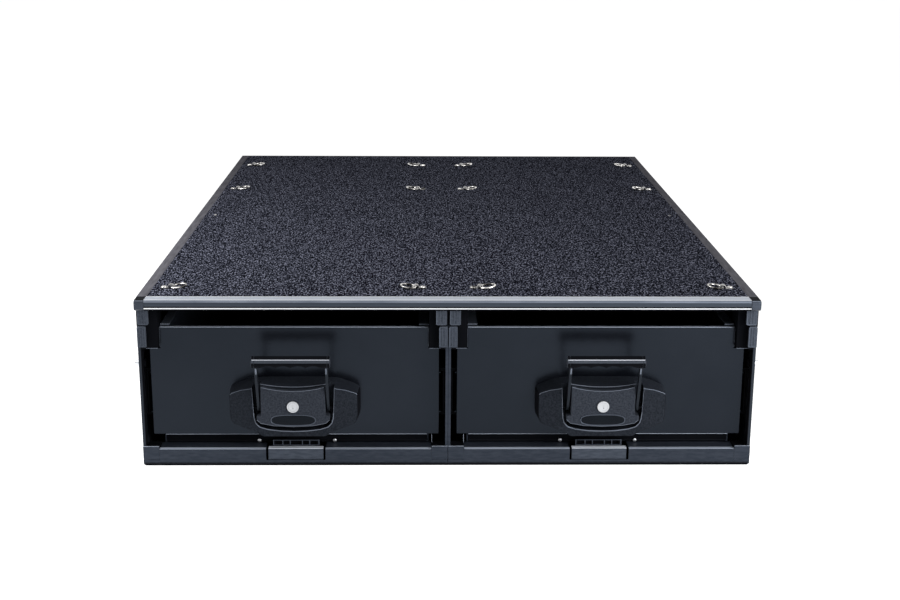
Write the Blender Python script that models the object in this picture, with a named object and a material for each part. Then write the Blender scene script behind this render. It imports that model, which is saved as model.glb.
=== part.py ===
"""A load-bed unit with two full-length drawers under a carpeted deck.

Metres, +Z up, the drawers open towards -Y.
"""

import math

import bmesh
import bpy
from mathutils import Matrix, Vector

for old in list(bpy.data.objects):
    bpy.data.objects.remove(old, do_unlink=True)

# Whole cabinet
cabinet_width = 0.944  # across the outer faces of the side panels
cabinet_length = 1.300  # from the front edges of the panels to the rear face
cabinet_height = 0.270
seat_gap = 0.0003  # between pieces that touch
running_gap = 0.0008  # between pieces that move past each other
cut_overrun = 0.004  # how far a cutter runs past the surface it cuts
merge_distance = 0.00001
smooth_angle = math.radians(35)

# Deck
board_thickness = 0.012
trim_wall = 0.002
edge_wall = 0.003
deck_inset = 0.001  # each side, from the outer face of the side panel
side_trim_cover = 0.018
rear_trim_cover = 0.010
nosing_overhang = 0.020
nosing_cover = 0.025
nose_thickness = 0.006
nose_radius = 0.004
nose_steps = 4
end_cap_width = 0.015

# Panels and base
panel_sheet = 0.002
outer_hem = 0.005
inner_hem = 0.004
hem_depth = 0.014
rear_sheet = 0.002
pan_sheet = 0.002
pan_upstand = 0.012

# Front sill, its corner blocks and the strike plate
sill_height = 0.0268
sill_front = 0.003  # how far it stands in front of the panels
sill_sheet = 0.002
sill_top_depth = 0.008
sill_foot_depth = 0.033
corner_width = 0.025
corner_height = 0.031
corner_rear_height = 0.028
corner_chamfer = 0.003
strike_width = 0.086
strike_side_gap = 0.003
strike_height = 0.0272
strike_sheet = 0.002
strike_ledge_depth = 0.0105
strike_foot_depth = 0.019
strike_window_height = 0.0088

# Guide blocks in the top corners of each bay
guide_front = 0.006
guide_upper_inset = 0.002
guide_upper_width = 0.0165
guide_lower_width = 0.0137
guide_drop = 0.0775  # of its lower edge, below the top of the deck
guide_step_low_drop = 0.0455
guide_step_high_drop = 0.0425
guide_inner_drop = 0.083
guide_neck_width = 0.012
guide_body_front = 0.008
guide_body_rear = 0.045

# Drawer tray
tray_side_space = 0.030  # from the outer face of the module to the tray
tray_sheet = 0.0015
tray_bottom = 0.0283
tray_drop = 0.050  # below the top of the deck
tray_flange = 0.015
tray_rear_space = 0.0587
tray_front_wall_drop = 0.0535
wall_inset = 0.002

# Drawer face
face_setback = 0.020
face_depth = 0.006
face_sheet = 0.0015
face_bottom = 0.043
face_drop = 0.0528  # below the top of the deck
face_notch_drop = 0.086
face_side_space = 0.0135

# Drawer slides
rail_sheet = 0.002
rail_height = 0.076
rail_ball_gap = 0.0005
outer_rail_rear_space = 0.042
outer_rail_depth = 0.016
middle_rail_rear_space = 0.082
middle_rail_standoff = 0.0036
middle_rail_depth = 0.019
drawer_rail_depth = 0.019

# Handle housing
housing_half_width = 0.1005
housing_bottom = 0.0545
housing_height = 0.0805
housing_depth = 0.0417
housing_wall = 0.003
housing_front_share = 0.965
housing_outline_shares = [(0.545, 0.995), (0.689, 0.975), (0.925, 0.895), (0.975, 0.83), (1.0, 0.70),
                          (1.0, 0.54), (0.965, 0.29), (0.93, 0.22), (0.64, 0.115), (0.525, 0.015),
                          (0.47, 0.0)]
housing_dip_share = 0.085
housing_dip_steps = 8
plate_rise = 0.008
plate_shares = [(0.49, 0.298), (0.548, 0.36), (0.553, 0.452), (0.487, 0.458), (0.487, 1.03)]
plate_low_shares = [(-0.30, 0.25), (0.0, 0.2335), (0.30, 0.25)]
plate_dip_share = 0.092
channel_depth = 0.017
channel_outer_shares = [(0.62, 1.2), (0.605, 0.484), (0.575, 0.26), (0.52, 0.19), (0.406, 0.15),
                        (0.206, 0.118), (0.0, 0.1075)]
channel_inner_shares = [(0.0, 0.205), (0.30, 0.22), (0.49, 0.268), (0.557, 0.335), (0.562, 0.458),
                        (0.495, 0.466), (0.495, 1.2)]
wing_pocket_shares = [(0.72, 0.87), (0.90, 0.82), (0.94, 0.68), (0.94, 0.55), (0.90, 0.30), (0.68, 0.22),
                      (0.68, 0.484)]
plate_pocket_shares = [(0.40, 0.32), (0.0, 0.26), (-0.40, 0.32), (-0.43, 0.85), (0.43, 0.85)]
badge_half_width = 0.0342
badge_height = 0.0184
badge_rise_share = 0.364
badge_thickness = 0.0012
badge_steps = 20
badge_squareness = 2.6

# Lock barrel
lock_rise_share = 0.64
lock_face_radius = 0.0095
lock_face_thickness = 0.0022
lock_body_radius = 0.008
lock_body_length = 0.024
keyway_width = 0.0018
keyway_height = 0.0070
keyway_depth = 0.0015
lock_sides = 20
cam_length = 0.016
cam_width = 0.008
cam_thickness = 0.003

# Handle bail
pivot_rise_share = 0.565
pivot_depth = 0.0055  # behind the front of the housing
pin_radius = 0.0025
pin_hole_radius = 0.0029
pin_reach = 0.0645
pin_sides = 12
arm_middle = 0.0530
arm_thickness = 0.0044
arm_eye_radius = 0.0055
arm_eye_steps = 8
arm_half_depth = 0.0038
grip_rise = 0.081
grip_forward = 0.0325
grip_half_width = 0.059
grip_radius = 0.0068
finger_pitch = 0.0225
finger_count = 4
finger_groove = 0.0022
finger_steps = 4
grip_sides = 12
grip_end_shares = [(1.0, 0.82), (0.975, 1.0)]

# Latch bolt
latch_half_width = 0.0364
latch_bottom = 0.0281
latch_height = 0.0088
latch_thickness = 0.0075
latch_pocket_depth = 0.004
latch_rail = 0.0017
rib_half_width = 0.0009
rib_place_shares = [0.26, 0.575, 0.905]
stem_half_width = 0.014
stem_thickness = 0.0025
stem_rise_share = 0.665
stem_gap = 0.0006

# Tie-down rings, straps and the strips under the deck
tie_front_row = 0.0535  # behind the front edges of the panels
tie_middle_row = 0.432  # in front of the rear face
tie_rear_row = 0.142
tie_outer_inset = 0.045
tie_inner_hinge = 0.0495
ring_radius = 0.011
ring_wire_radius = 0.00175
ring_steps = 20
ring_sides = 6
strap_width = 0.008
strap_thickness = 0.0016
strap_arch_radius = 0.003
strap_arch_steps = 6
strap_screw_reach = 0.0105
strap_end = 0.005
strap_foot = 0.002
tie_screw_head_radius = 0.0042
tie_screw_head_height = 0.0018
tie_screw_crown_share = 0.6
tie_screw_radius = 0.003
tie_screw_sides = 12
tie_hole_clearance = 0.0005
tie_strip_width = 0.024
tie_strip_inset = 0.025

# Side bolts
bolt_setback = 0.026
bolt_drop = 0.029  # below the guide blocks
bolt_rail_space = 0.010  # from its axis down to the fixed rail
bolt_head_radius = 0.0065
bolt_head_height = 0.006
bolt_tip_radius = 0.0040
bolt_tip_length = 0.0115
bolt_inner_length = 0.004
bolt_nut_radius = 0.0065
bolt_sides = 12

# Derived places
module_width = cabinet_width / 2
module_middle = module_width / 2
deck_underside = cabinet_height - board_thickness - 2 * trim_wall - 2 * seat_gap
panel_top = deck_underside - seat_gap
board_top = cabinet_height - trim_wall - seat_gap
board_bottom = board_top - board_thickness
carpet_bottom = cabinet_height - trim_wall
half_deck = module_width - deck_inset
nosing_rear = nosing_cover - nosing_overhang
handle_front = face_setback - seat_gap - housing_depth
plate_front = handle_front - plate_rise
badge_middle_height = housing_bottom + housing_height * badge_rise_share
lock_height = housing_bottom + housing_height * lock_rise_share
pivot_height = housing_bottom + housing_height * pivot_rise_share
stem_top = housing_bottom + housing_height * stem_rise_share
pivot_setback = handle_front + pivot_depth
grip_reach = -(pivot_setback - grip_forward - grip_radius)
front_y = (grip_reach - cabinet_length) / 2
panel_inner_face = module_middle - panel_sheet
rail_side = panel_inner_face - seat_gap
tray_half_width = module_middle - tray_side_space
tray_top = cabinet_height - tray_drop
tray_front_wall_top = cabinet_height - tray_front_wall_drop
tray_front = face_setback + face_depth + seat_gap
tray_length = cabinet_length - tray_rear_space - tray_front
face_top = cabinet_height - face_drop
face_notch_height = cabinet_height - face_notch_drop
face_low_half_width = module_middle - face_side_space
guide_bottom = cabinet_height - guide_drop
guide_step_low = cabinet_height - guide_step_low_drop
guide_step_high = cabinet_height - guide_step_high_drop
guide_inner_bottom = cabinet_height - guide_inner_drop
bolt_height = guide_inner_bottom - bolt_drop
rail_middle_height = bolt_height - bolt_rail_space - rail_height / 2
rail_front = sill_foot_depth - sill_front + seat_gap
outer_rail_length = cabinet_length - outer_rail_rear_space - rail_front
middle_rail_length = cabinet_length - middle_rail_rear_space - rail_front
tie_rows = [tie_front_row, cabinet_length - tie_middle_row, cabinet_length - tie_rear_row]
tie_outer_hinge = module_width - tie_outer_inset
tie_strip_half_length = module_width - tie_strip_inset
rib_places = [latch_half_width * share for share in rib_place_shares]


def place(axis, first, second, along):
    """A point whose outline coordinates are first and second, at a distance along the axis."""
    if axis == "X":
        return Vector((along, first, second))
    if axis == "Y":
        return Vector((first, along, second))
    return Vector((first, second, along))


def extruded(outline, axis, low, high):
    """The outline, run along the axis from low to high."""
    work = bmesh.new()
    corners = [work.verts.new(place(axis, first, second, low)) for first, second in outline]
    face = work.faces.new(corners)
    grown = bmesh.ops.extrude_face_region(work, geom=[face])
    moved = [item for item in grown["geom"] if isinstance(item, bmesh.types.BMVert)]
    bmesh.ops.translate(work, verts=moved, vec=place(axis, 0, 0, high - low))
    bmesh.ops.recalc_face_normals(work, faces=work.faces)
    return work


def box(low, high):
    """A block between two corners."""
    outline = [(low[0], low[1]), (high[0], low[1]), (high[0], high[1]), (low[0], high[1])]
    return extruded(outline, "Z", low[2], high[2])


def turned(profile, sides):
    """A profile of (radius, height) points from the axis round to the axis again, turned about Z."""
    work = bmesh.new()
    corners = [work.verts.new((radius, 0, height)) for radius, height in profile]
    edges = [work.edges.new(pair) for pair in zip(corners, corners[1:])]
    bmesh.ops.spin(work, geom=corners + edges, cent=(0, 0, 0), axis=(0, 0, 1), angle=math.tau, steps=sides,
                   use_merge=True)
    bmesh.ops.remove_doubles(work, verts=work.verts, dist=merge_distance)
    bmesh.ops.recalc_face_normals(work, faces=work.faces)
    return work


def gathered(parts):
    """Several meshes in one."""
    whole = bmesh.new()
    for part in parts:
        carrier = bpy.data.meshes.new("carrier")
        part.to_mesh(carrier)
        part.free()
        whole.from_mesh(carrier)
        bpy.data.meshes.remove(carrier)
    return whole


def moved_by(work, offset):
    """The mesh, moved."""
    bmesh.ops.translate(work, verts=work.verts, vec=offset)
    return work


def turned_to(work, angle, axis):
    """The mesh, turned about an axis through the origin."""
    bmesh.ops.rotate(work, verts=work.verts, cent=(0, 0, 0), matrix=Matrix.Rotation(angle, 3, axis))
    return work


def as_mesh(name, work):
    """The finished mesh, shaded smooth but for its sharp edges."""
    mesh = bpy.data.meshes.new(name)
    work.to_mesh(mesh)
    work.free()
    mesh.shade_smooth()
    mesh.set_sharp_from_angle(angle=smooth_angle)
    return mesh


def frame(name, location, parent=None):
    """An empty that carries other objects."""
    empty = bpy.data.objects.new(name, None)
    empty.location = location
    empty.parent = parent
    bpy.context.collection.objects.link(empty)
    return empty


def piece(name, mesh, material, parent, location=(0, 0, 0), lean=0):
    """A visible object of the model."""
    item = bpy.data.objects.new(name, mesh)
    if not mesh.materials:
        mesh.materials.append(material)
    item.parent = parent
    item.location = location
    item.rotation_euler = (lean, 0, 0)
    bpy.context.collection.objects.link(item)
    return item


def helper(name, work, parent, location=(0, 0, 0)):
    """A hidden shape that is cut from a piece or joined to it."""
    item = bpy.data.objects.new(name, as_mesh(name, work))
    item.parent = parent
    item.location = location
    item.hide_render = True
    item.display_type = "WIRE"
    bpy.context.collection.objects.link(item)
    return item


def combine(item, tool, operation):
    """Cut the tool from the piece, or join it on."""
    step = item.modifiers.new(tool.name, "BOOLEAN")
    step.operation = operation
    step.solver = "EXACT"
    step.object = tool


def finish(name, colour, roughness, metallic):
    """One material."""
    material = bpy.data.materials.new(name)
    material.use_nodes = True
    shader = material.node_tree.nodes["Principled BSDF"]
    shader.inputs["Base Color"].default_value = (*colour, 1)
    shader.inputs["Roughness"].default_value = roughness
    shader.inputs["Metallic"].default_value = metallic
    return material


carpet_finish = finish("charcoal_carpet", (0.035, 0.037, 0.043), 0.95, 0)
board_finish = finish("deck_board", (0.30, 0.21, 0.12), 0.8, 0)
nosing_finish = finish("anodised_nosing", (0.10, 0.11, 0.125), 0.35, 0.9)
trim_finish = finish("anodised_trim", (0.05, 0.048, 0.05), 0.4, 0.8)
panel_finish = finish("charcoal_panel", (0.045, 0.05, 0.06), 0.5, 0.1)
face_finish = finish("satin_black", (0.022, 0.024, 0.03), 0.4, 0.1)
plastic_finish = finish("black_plastic", (0.014, 0.015, 0.018), 0.6, 0)
bail_finish = finish("bail_plastic", (0.012, 0.013, 0.016), 0.45, 0)
zinc_finish = finish("zinc_steel", (0.45, 0.46, 0.48), 0.4, 0.9)
chrome_finish = finish("chrome", (0.75, 0.75, 0.76), 0.15, 1)


def nosing_outline():
    """Section of the nosing: a round nose with one leg over the board and one under it."""
    front = -nosing_overhang
    slot_front = front + nose_thickness
    outline = [(nosing_rear, cabinet_height), (nosing_rear, cabinet_height - trim_wall),
               (slot_front, cabinet_height - trim_wall), (slot_front, deck_underside + trim_wall),
               (nosing_rear, deck_underside + trim_wall), (nosing_rear, deck_underside)]
    for step in range(nose_steps + 1):
        angle = math.pi / 2 * step / nose_steps
        outline.append((front + nose_radius * (1 - math.sin(angle)),
                        deck_underside + nose_radius * (1 - math.cos(angle))))
    for step in range(nose_steps + 1):
        angle = math.pi / 2 * step / nose_steps
        outline.append((front + nose_radius * (1 - math.cos(angle)),
                        cabinet_height - nose_radius * (1 - math.sin(angle))))
    return outline


def end_cap_outline():
    """Section of the nosing's end cap: the nosing's outside, with a slot at the back for the board."""
    front = -nosing_overhang
    slot_front = front + nose_thickness
    chamfer = nose_radius / 2
    return [(nosing_rear, cabinet_height), (nosing_rear, cabinet_height - trim_wall),
            (slot_front, cabinet_height - trim_wall), (slot_front, deck_underside + trim_wall),
            (nosing_rear, deck_underside + trim_wall), (nosing_rear, deck_underside),
            (front + nose_radius, deck_underside), (front + chamfer / 2, deck_underside + chamfer),
            (front, deck_underside + nose_radius), (front, cabinet_height - nose_radius),
            (front + chamfer / 2, cabinet_height - chamfer), (front + nose_radius, cabinet_height)]


def edge_channel(outer, inner_cover, sense):
    """Section of a trim that grips the board's edge, from its outer face inwards in the given sense."""
    wall = outer + sense * edge_wall
    tip = outer + sense * inner_cover
    top = cabinet_height
    low = deck_underside
    return [(outer, low), (outer, top), (tip, top), (tip, top - trim_wall), (wall, top - trim_wall),
            (wall, low + trim_wall), (tip, low + trim_wall), (tip, low)]


def tie_places():
    """Hinge points of the rings: across, along, and the sense in which the ring lies."""
    places = []
    for row, setback in enumerate(tie_rows):
        for across, towards in ((-tie_outer_hinge, 1), (-tie_inner_hinge, -1),
                                (tie_inner_hinge, 1), (tie_outer_hinge, -1)):
            places.append((row, across, setback, towards))
    return places


def tie_holes(low, high):
    """Round shanks at every tie-down screw, as a cutter."""
    radius = tie_screw_radius + tie_hole_clearance
    holes = []
    for row, across, setback, towards in tie_places():
        hole = turned([(0, low), (radius, low), (radius, high), (0, high)], tie_screw_sides)
        holes.append(moved_by(hole, (across - towards * strap_screw_reach, setback, 0)))
    return gathered(holes)


def make_deck(cabinet):
    """Board, carpet, nosing with its caps, and trims."""
    board_front = -nosing_overhang + nose_thickness + seat_gap
    board_rear = cabinet_length - edge_wall - seat_gap
    board_half = half_deck - edge_wall - seat_gap
    board = piece("deck_board", as_mesh("deck_board", box((-board_half, board_front, board_bottom),
                                                         (board_half, board_rear, board_top))),
                  board_finish, cabinet)
    hole_mesh = tie_holes(board_bottom - cut_overrun, cabinet_height + cut_overrun)
    holes = helper("deck_holes", hole_mesh, cabinet)
    combine(board, holes, "DIFFERENCE")

    carpet_half = half_deck - side_trim_cover - seat_gap
    carpet_low = (-carpet_half, nosing_rear + seat_gap, carpet_bottom)
    carpet_high = (carpet_half, cabinet_length - rear_trim_cover - seat_gap, cabinet_height)
    carpet = piece("deck_carpet", as_mesh("deck_carpet", box(carpet_low, carpet_high)), carpet_finish,
                   cabinet)
    combine(carpet, holes, "DIFFERENCE")

    nosing_half = half_deck - end_cap_width
    nosing = extruded(nosing_outline(), "X", -nosing_half, nosing_half)
    piece("front_nosing", as_mesh("front_nosing", nosing), nosing_finish, cabinet)
    for side, sense in (("left", -1), ("right", 1)):
        inner = sense * (nosing_half + seat_gap)
        outer = sense * half_deck
        name = "nosing_cap_" + side
        piece(name, as_mesh(name, extruded(end_cap_outline(), "X", inner, outer)), plastic_finish, cabinet)
        name = "deck_trim_" + side
        outline = edge_channel(outer, side_trim_cover, -sense)
        piece(name, as_mesh(name, extruded(outline, "Y", nosing_rear + seat_gap, cabinet_length)),
              trim_finish, cabinet)
    rear_half = half_deck - side_trim_cover - seat_gap
    outline = edge_channel(cabinet_length, rear_trim_cover, -1)
    piece("deck_trim_rear", as_mesh("deck_trim_rear", extruded(outline, "X", -rear_half, rear_half)),
          trim_finish, cabinet)


def panel_outline(outer, hem, sense):
    """Plan of a side panel: a sheet with its front and rear edges turned in."""
    rear = cabinet_length - rear_sheet - seat_gap
    sheet = outer + sense * panel_sheet
    tip = outer + sense * hem
    return [(outer, 0), (outer, rear), (tip, rear), (tip, rear - hem_depth), (sheet, rear - hem_depth),
            (sheet, hem_depth), (tip, hem_depth), (tip, 0)]


def make_panels(cabinet):
    """Outer and inner side panels, and the rear panel across both modules."""
    for side, sense in (("left", -1), ("right", 1)):
        name = "side_panel_" + side
        outline = panel_outline(sense * module_width, outer_hem, -sense)
        panel = piece(name, as_mesh(name, extruded(outline, "Z", 0, panel_top)), panel_finish, cabinet)
        hole_radius = bolt_tip_radius + seat_gap
        profile = [(0, -outer_hem), (hole_radius, -outer_hem), (hole_radius, outer_hem), (0, outer_hem)]
        hole = turned_to(turned(profile, bolt_sides), math.pi / 2, "Y")
        hole = moved_by(hole, (sense * module_width, bolt_setback, bolt_height))
        combine(panel, helper("bolt_hole_" + side, hole, cabinet), "DIFFERENCE")
        name = "centre_panel_" + side
        outline = panel_outline(sense * seat_gap / 2, inner_hem, sense)
        piece(name, as_mesh(name, extruded(outline, "Z", 0, panel_top)), panel_finish, cabinet)
    low = (-module_width, cabinet_length - rear_sheet, 0)
    piece("rear_panel", as_mesh("rear_panel", box(low, (module_width, cabinet_length, panel_top))),
          panel_finish, cabinet)


def base_pan_outline():
    """Section of a base pan across the module: a floor with an upstand at each side."""
    outer = panel_inner_face - seat_gap - seat_gap / 2
    inner = outer - pan_sheet
    return [(-outer, 0), (outer, 0), (outer, pan_upstand), (inner, pan_upstand), (inner, pan_sheet),
            (-inner, pan_sheet), (-inner, pan_upstand), (-outer, pan_upstand)]


def sill_section():
    """Section of the sill: face, short top flange and long foot."""
    front = -sill_front
    wall = front + sill_sheet
    return [(front, 0), (front, sill_height), (front + sill_top_depth, sill_height),
            (front + sill_top_depth, sill_height - sill_sheet), (wall, sill_height - sill_sheet),
            (wall, sill_sheet), (front + sill_foot_depth, sill_sheet), (front + sill_foot_depth, 0)]


def corner_block(sense):
    """The moulded block at one end of a sill: a plate over the panel's edge, and a body behind it."""
    outer = module_middle - seat_gap
    inner = module_middle - corner_width
    plate_outline = [(sense * inner, 0), (sense * (outer - corner_chamfer), 0),
                     (sense * outer, corner_chamfer), (sense * outer, corner_height),
                     (sense * inner, corner_height)]
    plate = extruded(plate_outline, "Y", -sill_front - seat_gap, -seat_gap)
    body_outer = module_middle - outer_hem - seat_gap
    low = (min(sense * inner, sense * body_outer), -sill_front / 2, 0)
    high = (max(sense * inner, sense * body_outer), sill_foot_depth - sill_front, corner_rear_height)
    return plate, box(low, high)


def strike_section():
    """Section of the strike plate: a face, a ledge that the bolt drops behind, and a foot."""
    front = -sill_front + sill_sheet + seat_gap
    wall = front + strike_sheet
    ledge = front + strike_ledge_depth
    foot = front + strike_foot_depth
    low = sill_sheet + seat_gap
    under = strike_height - strike_sheet
    return [(front, low), (front, strike_height), (ledge, strike_height), (ledge, under), (wall, under),
            (wall, low + strike_sheet), (foot, low + strike_sheet), (foot, low)]


def make_base(modules):
    """Base pans, sills with their corner blocks, and strike plates."""
    pan_front = sill_foot_depth - sill_front + seat_gap
    pan_rear = cabinet_length - rear_sheet - hem_depth - 2 * seat_gap
    pan_mesh = as_mesh("base_pan", extruded(base_pan_outline(), "Y", pan_front, pan_rear))
    inner = module_middle - corner_width
    bar_mesh = as_mesh("sill", extruded(sill_section(), "X", -inner - seat_gap, inner + seat_gap))
    window_half = strike_width / 2 + strike_side_gap
    strike_half = strike_width / 2
    strike_mesh = as_mesh("strike_plate", extruded(strike_section(), "X", -strike_half, strike_half))
    for side, module in modules.items():
        piece("base_pan_" + side, pan_mesh, panel_finish, module)
        sill = piece("sill_" + side, bar_mesh, panel_finish, module)
        window = box((-window_half, -sill_front - cut_overrun, strike_window_height),
                     (window_half, -sill_front + sill_top_depth + cut_overrun, sill_height + cut_overrun))
        combine(sill, helper("strike_window_" + side, window, module), "DIFFERENCE")
        for end, sense in (("low", -1), ("high", 1)):
            plate, body = corner_block(sense)
            combine(sill, helper("corner_plate_" + end + "_" + side, plate, module), "UNION")
            combine(sill, helper("corner_body_" + end + "_" + side, body, module), "UNION")
        piece("strike_plate_" + side, strike_mesh, panel_finish, module)


def guide_block(sense):
    """A guide block on one side of a bay: stepped front plates, and a body behind them."""
    outer = module_middle - seat_gap
    upper_outer = outer - guide_upper_inset
    lower_inner = outer - guide_lower_width
    upper_inner = upper_outer - guide_upper_width
    front_outline = [(outer, guide_bottom), (outer, guide_step_low), (upper_outer, guide_step_high),
                     (upper_outer, panel_top), (upper_inner, panel_top), (upper_inner, guide_step_high),
                     (lower_inner, guide_step_low), (lower_inner, guide_bottom)]
    front = extruded([(sense * across, up) for across, up in front_outline], "Y", -guide_front, -seat_gap)
    body_outer = module_middle - outer_hem - seat_gap
    body_inner = tray_half_width + running_gap
    neck_inner = module_middle - guide_neck_width
    plan = [(body_outer, -guide_front / 2), (body_outer, guide_body_rear), (body_inner, guide_body_rear),
            (body_inner, guide_body_front), (neck_inner, guide_body_front), (neck_inner, -guide_front / 2)]
    body = extruded([(sense * across, along) for across, along in plan], "Z", guide_inner_bottom,
                    panel_top - seat_gap)
    return front, body


def channel_section(back, sense, depth, half_height):
    """Section of a rail: a web at the back and two flanges that run from it in the given sense."""
    web = back + sense * rail_sheet
    tip = back + sense * depth
    low = rail_middle_height - half_height
    high = rail_middle_height + half_height
    return [(back, low), (back, high), (tip, high), (tip, high - rail_sheet), (web, high - rail_sheet),
            (web, low + rail_sheet), (tip, low + rail_sheet), (tip, low)]


outer_rail_half = rail_height / 2
middle_rail_half = outer_rail_half - rail_sheet - rail_ball_gap
drawer_rail_half = middle_rail_half - rail_sheet - rail_ball_gap


def make_guides_and_rails(modules):
    """Guide blocks, the fixed members of the slides, and their middle members."""
    for side, module in modules.items():
        for hand, sense in (("a", -1), ("b", 1)):
            place_name = side + "_" + hand
            front, body = guide_block(sense)
            name = "guide_block_" + place_name
            guide = piece(name, as_mesh(name, front), plastic_finish, module)
            combine(guide, helper("guide_body_" + place_name, body, module), "UNION")
            back = sense * (rail_side - seat_gap / 2)
            outline = channel_section(back, -sense, outer_rail_depth, outer_rail_half)
            name = "fixed_rail_" + place_name
            piece(name, as_mesh(name, extruded(outline, "Y", rail_front, rail_front + outer_rail_length)),
                  zinc_finish, module)
            back = sense * (panel_inner_face - middle_rail_standoff)
            outline = channel_section(back, -sense, middle_rail_depth, middle_rail_half)
            name = "middle_rail_" + place_name
            piece(name, as_mesh(name, extruded(outline, "Y", rail_front, rail_front + middle_rail_length)),
                  zinc_finish, module)


def tray_outline():
    """Section of a tray: floor, sides that carry the slides' drawer members, and turned-in flanges."""
    side = tray_half_width
    wall = side - tray_sheet
    rail_tip = side + drawer_rail_depth
    rail_web = side + rail_sheet
    rail_low = rail_middle_height - drawer_rail_half
    rail_high = rail_middle_height + drawer_rail_half
    lip = side - tray_flange
    right = [(side, tray_bottom), (side, rail_low), (rail_tip, rail_low), (rail_tip, rail_low + rail_sheet),
             (rail_web, rail_low + rail_sheet), (rail_web, rail_high - rail_sheet),
             (rail_tip, rail_high - rail_sheet), (rail_tip, rail_high), (side, rail_high), (side, tray_top),
             (lip, tray_top), (lip, tray_top - tray_sheet), (wall, tray_top - tray_sheet),
             (wall, tray_bottom + tray_sheet)]
    left = [(-across, up) for across, up in reversed(right)]
    return right + left


def make_tray(name, module, tray_mesh):
    """A drawer tray with its front and rear walls."""
    tray = piece(name, tray_mesh, face_finish, module)
    reach = tray_half_width - tray_sheet / 2
    low = tray_bottom + tray_sheet / 2
    rear = tray_front + tray_length
    front_wall = box((-reach, tray_front + wall_inset, low),
                     (reach, tray_front + wall_inset + tray_sheet, tray_front_wall_top))
    rear_wall = box((-reach, rear - wall_inset - tray_sheet, low),
                    (reach, rear - wall_inset, tray_top - tray_sheet / 2))
    combine(tray, helper(name + "_front_wall", front_wall, module), "UNION")
    combine(tray, helper(name + "_rear_wall", rear_wall, module), "UNION")


def face_outline(inset):
    """Front view of a drawer face with notched top corners, drawn in by the inset."""
    low_half = face_low_half_width - inset
    high_half = tray_half_width - inset
    notch = face_notch_height - inset
    right = [(low_half, face_bottom + inset), (low_half, notch), (high_half, notch),
             (high_half, face_top - inset)]
    left = [(-across, up) for across, up in reversed(right)]
    return right + left


def make_face(name, module, face_mesh):
    """A drawer face: one sheet with its edges turned back."""
    face = piece(name, face_mesh, face_finish, module)
    hollow = extruded(face_outline(face_sheet), "Y", face_setback + face_sheet,
                      face_setback + face_depth + cut_overrun)
    combine(face, helper(name + "_hollow", hollow, module), "DIFFERENCE")


def housing_point(across_share, up_share):
    """A point of the housing's front view, from shares of its half width and height."""
    return housing_half_width * across_share, housing_bottom + housing_height * up_share


def housing_outline():
    """Front view of the housing, with wings at the sides and a dipped top edge."""
    right = list(reversed(housing_outline_shares))
    end_across, end_up = housing_outline_shares[0]
    dip = []
    for step in range(1, housing_dip_steps):
        across = end_across * (1 - 2 * step / housing_dip_steps)
        dip.append((across, end_up - housing_dip_share * (1 - (across / end_across) ** 2)))
    left = [(-across, up) for across, up in housing_outline_shares]
    return [housing_point(across, up) for across, up in right + dip + left]


def plate_outline():
    """Front view of the raised lock plate, with a dipped top edge."""
    end_across, end_up = plate_shares[-1]
    dip = []
    for step in range(1, housing_dip_steps):
        across = end_across * (1 - 2 * step / housing_dip_steps)
        dip.append((across, end_up - plate_dip_share * (1 - (across / end_across) ** 2)))
    left = [(-across, up) for across, up in reversed(plate_shares)]
    return [housing_point(across, up) for across, up in plate_low_shares + plate_shares + dip + left]


def drafted_housing():
    """The housing's outside, a little smaller at its front."""
    base = face_setback - seat_gap
    work = extruded(housing_outline(), "Y", base, handle_front)
    front = [vert for vert in work.verts if abs(vert.co.y - handle_front) < merge_distance]
    middle = Vector((0, 0, housing_bottom + housing_height / 2))
    bmesh.ops.scale(work, verts=front, vec=(housing_front_share, 1, housing_front_share),
                    space=Matrix.Translation(-middle))
    return work


def scaled_outline(outline, share):
    """The outline, drawn in towards its middle."""
    middle = housing_bottom + housing_height / 2
    return [(across * share, middle + (up - middle) * share) for across, up in outline]


def badge_outline():
    """A bare oval pad."""
    outline = []
    for step in range(badge_steps):
        angle = math.tau * step / badge_steps
        across = math.copysign(abs(math.cos(angle)) ** (2 / badge_squareness), math.cos(angle))
        up = math.copysign(abs(math.sin(angle)) ** (2 / badge_squareness), math.sin(angle))
        outline.append((badge_half_width * across, badge_middle_height + badge_height / 2 * up))
    return outline


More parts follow.
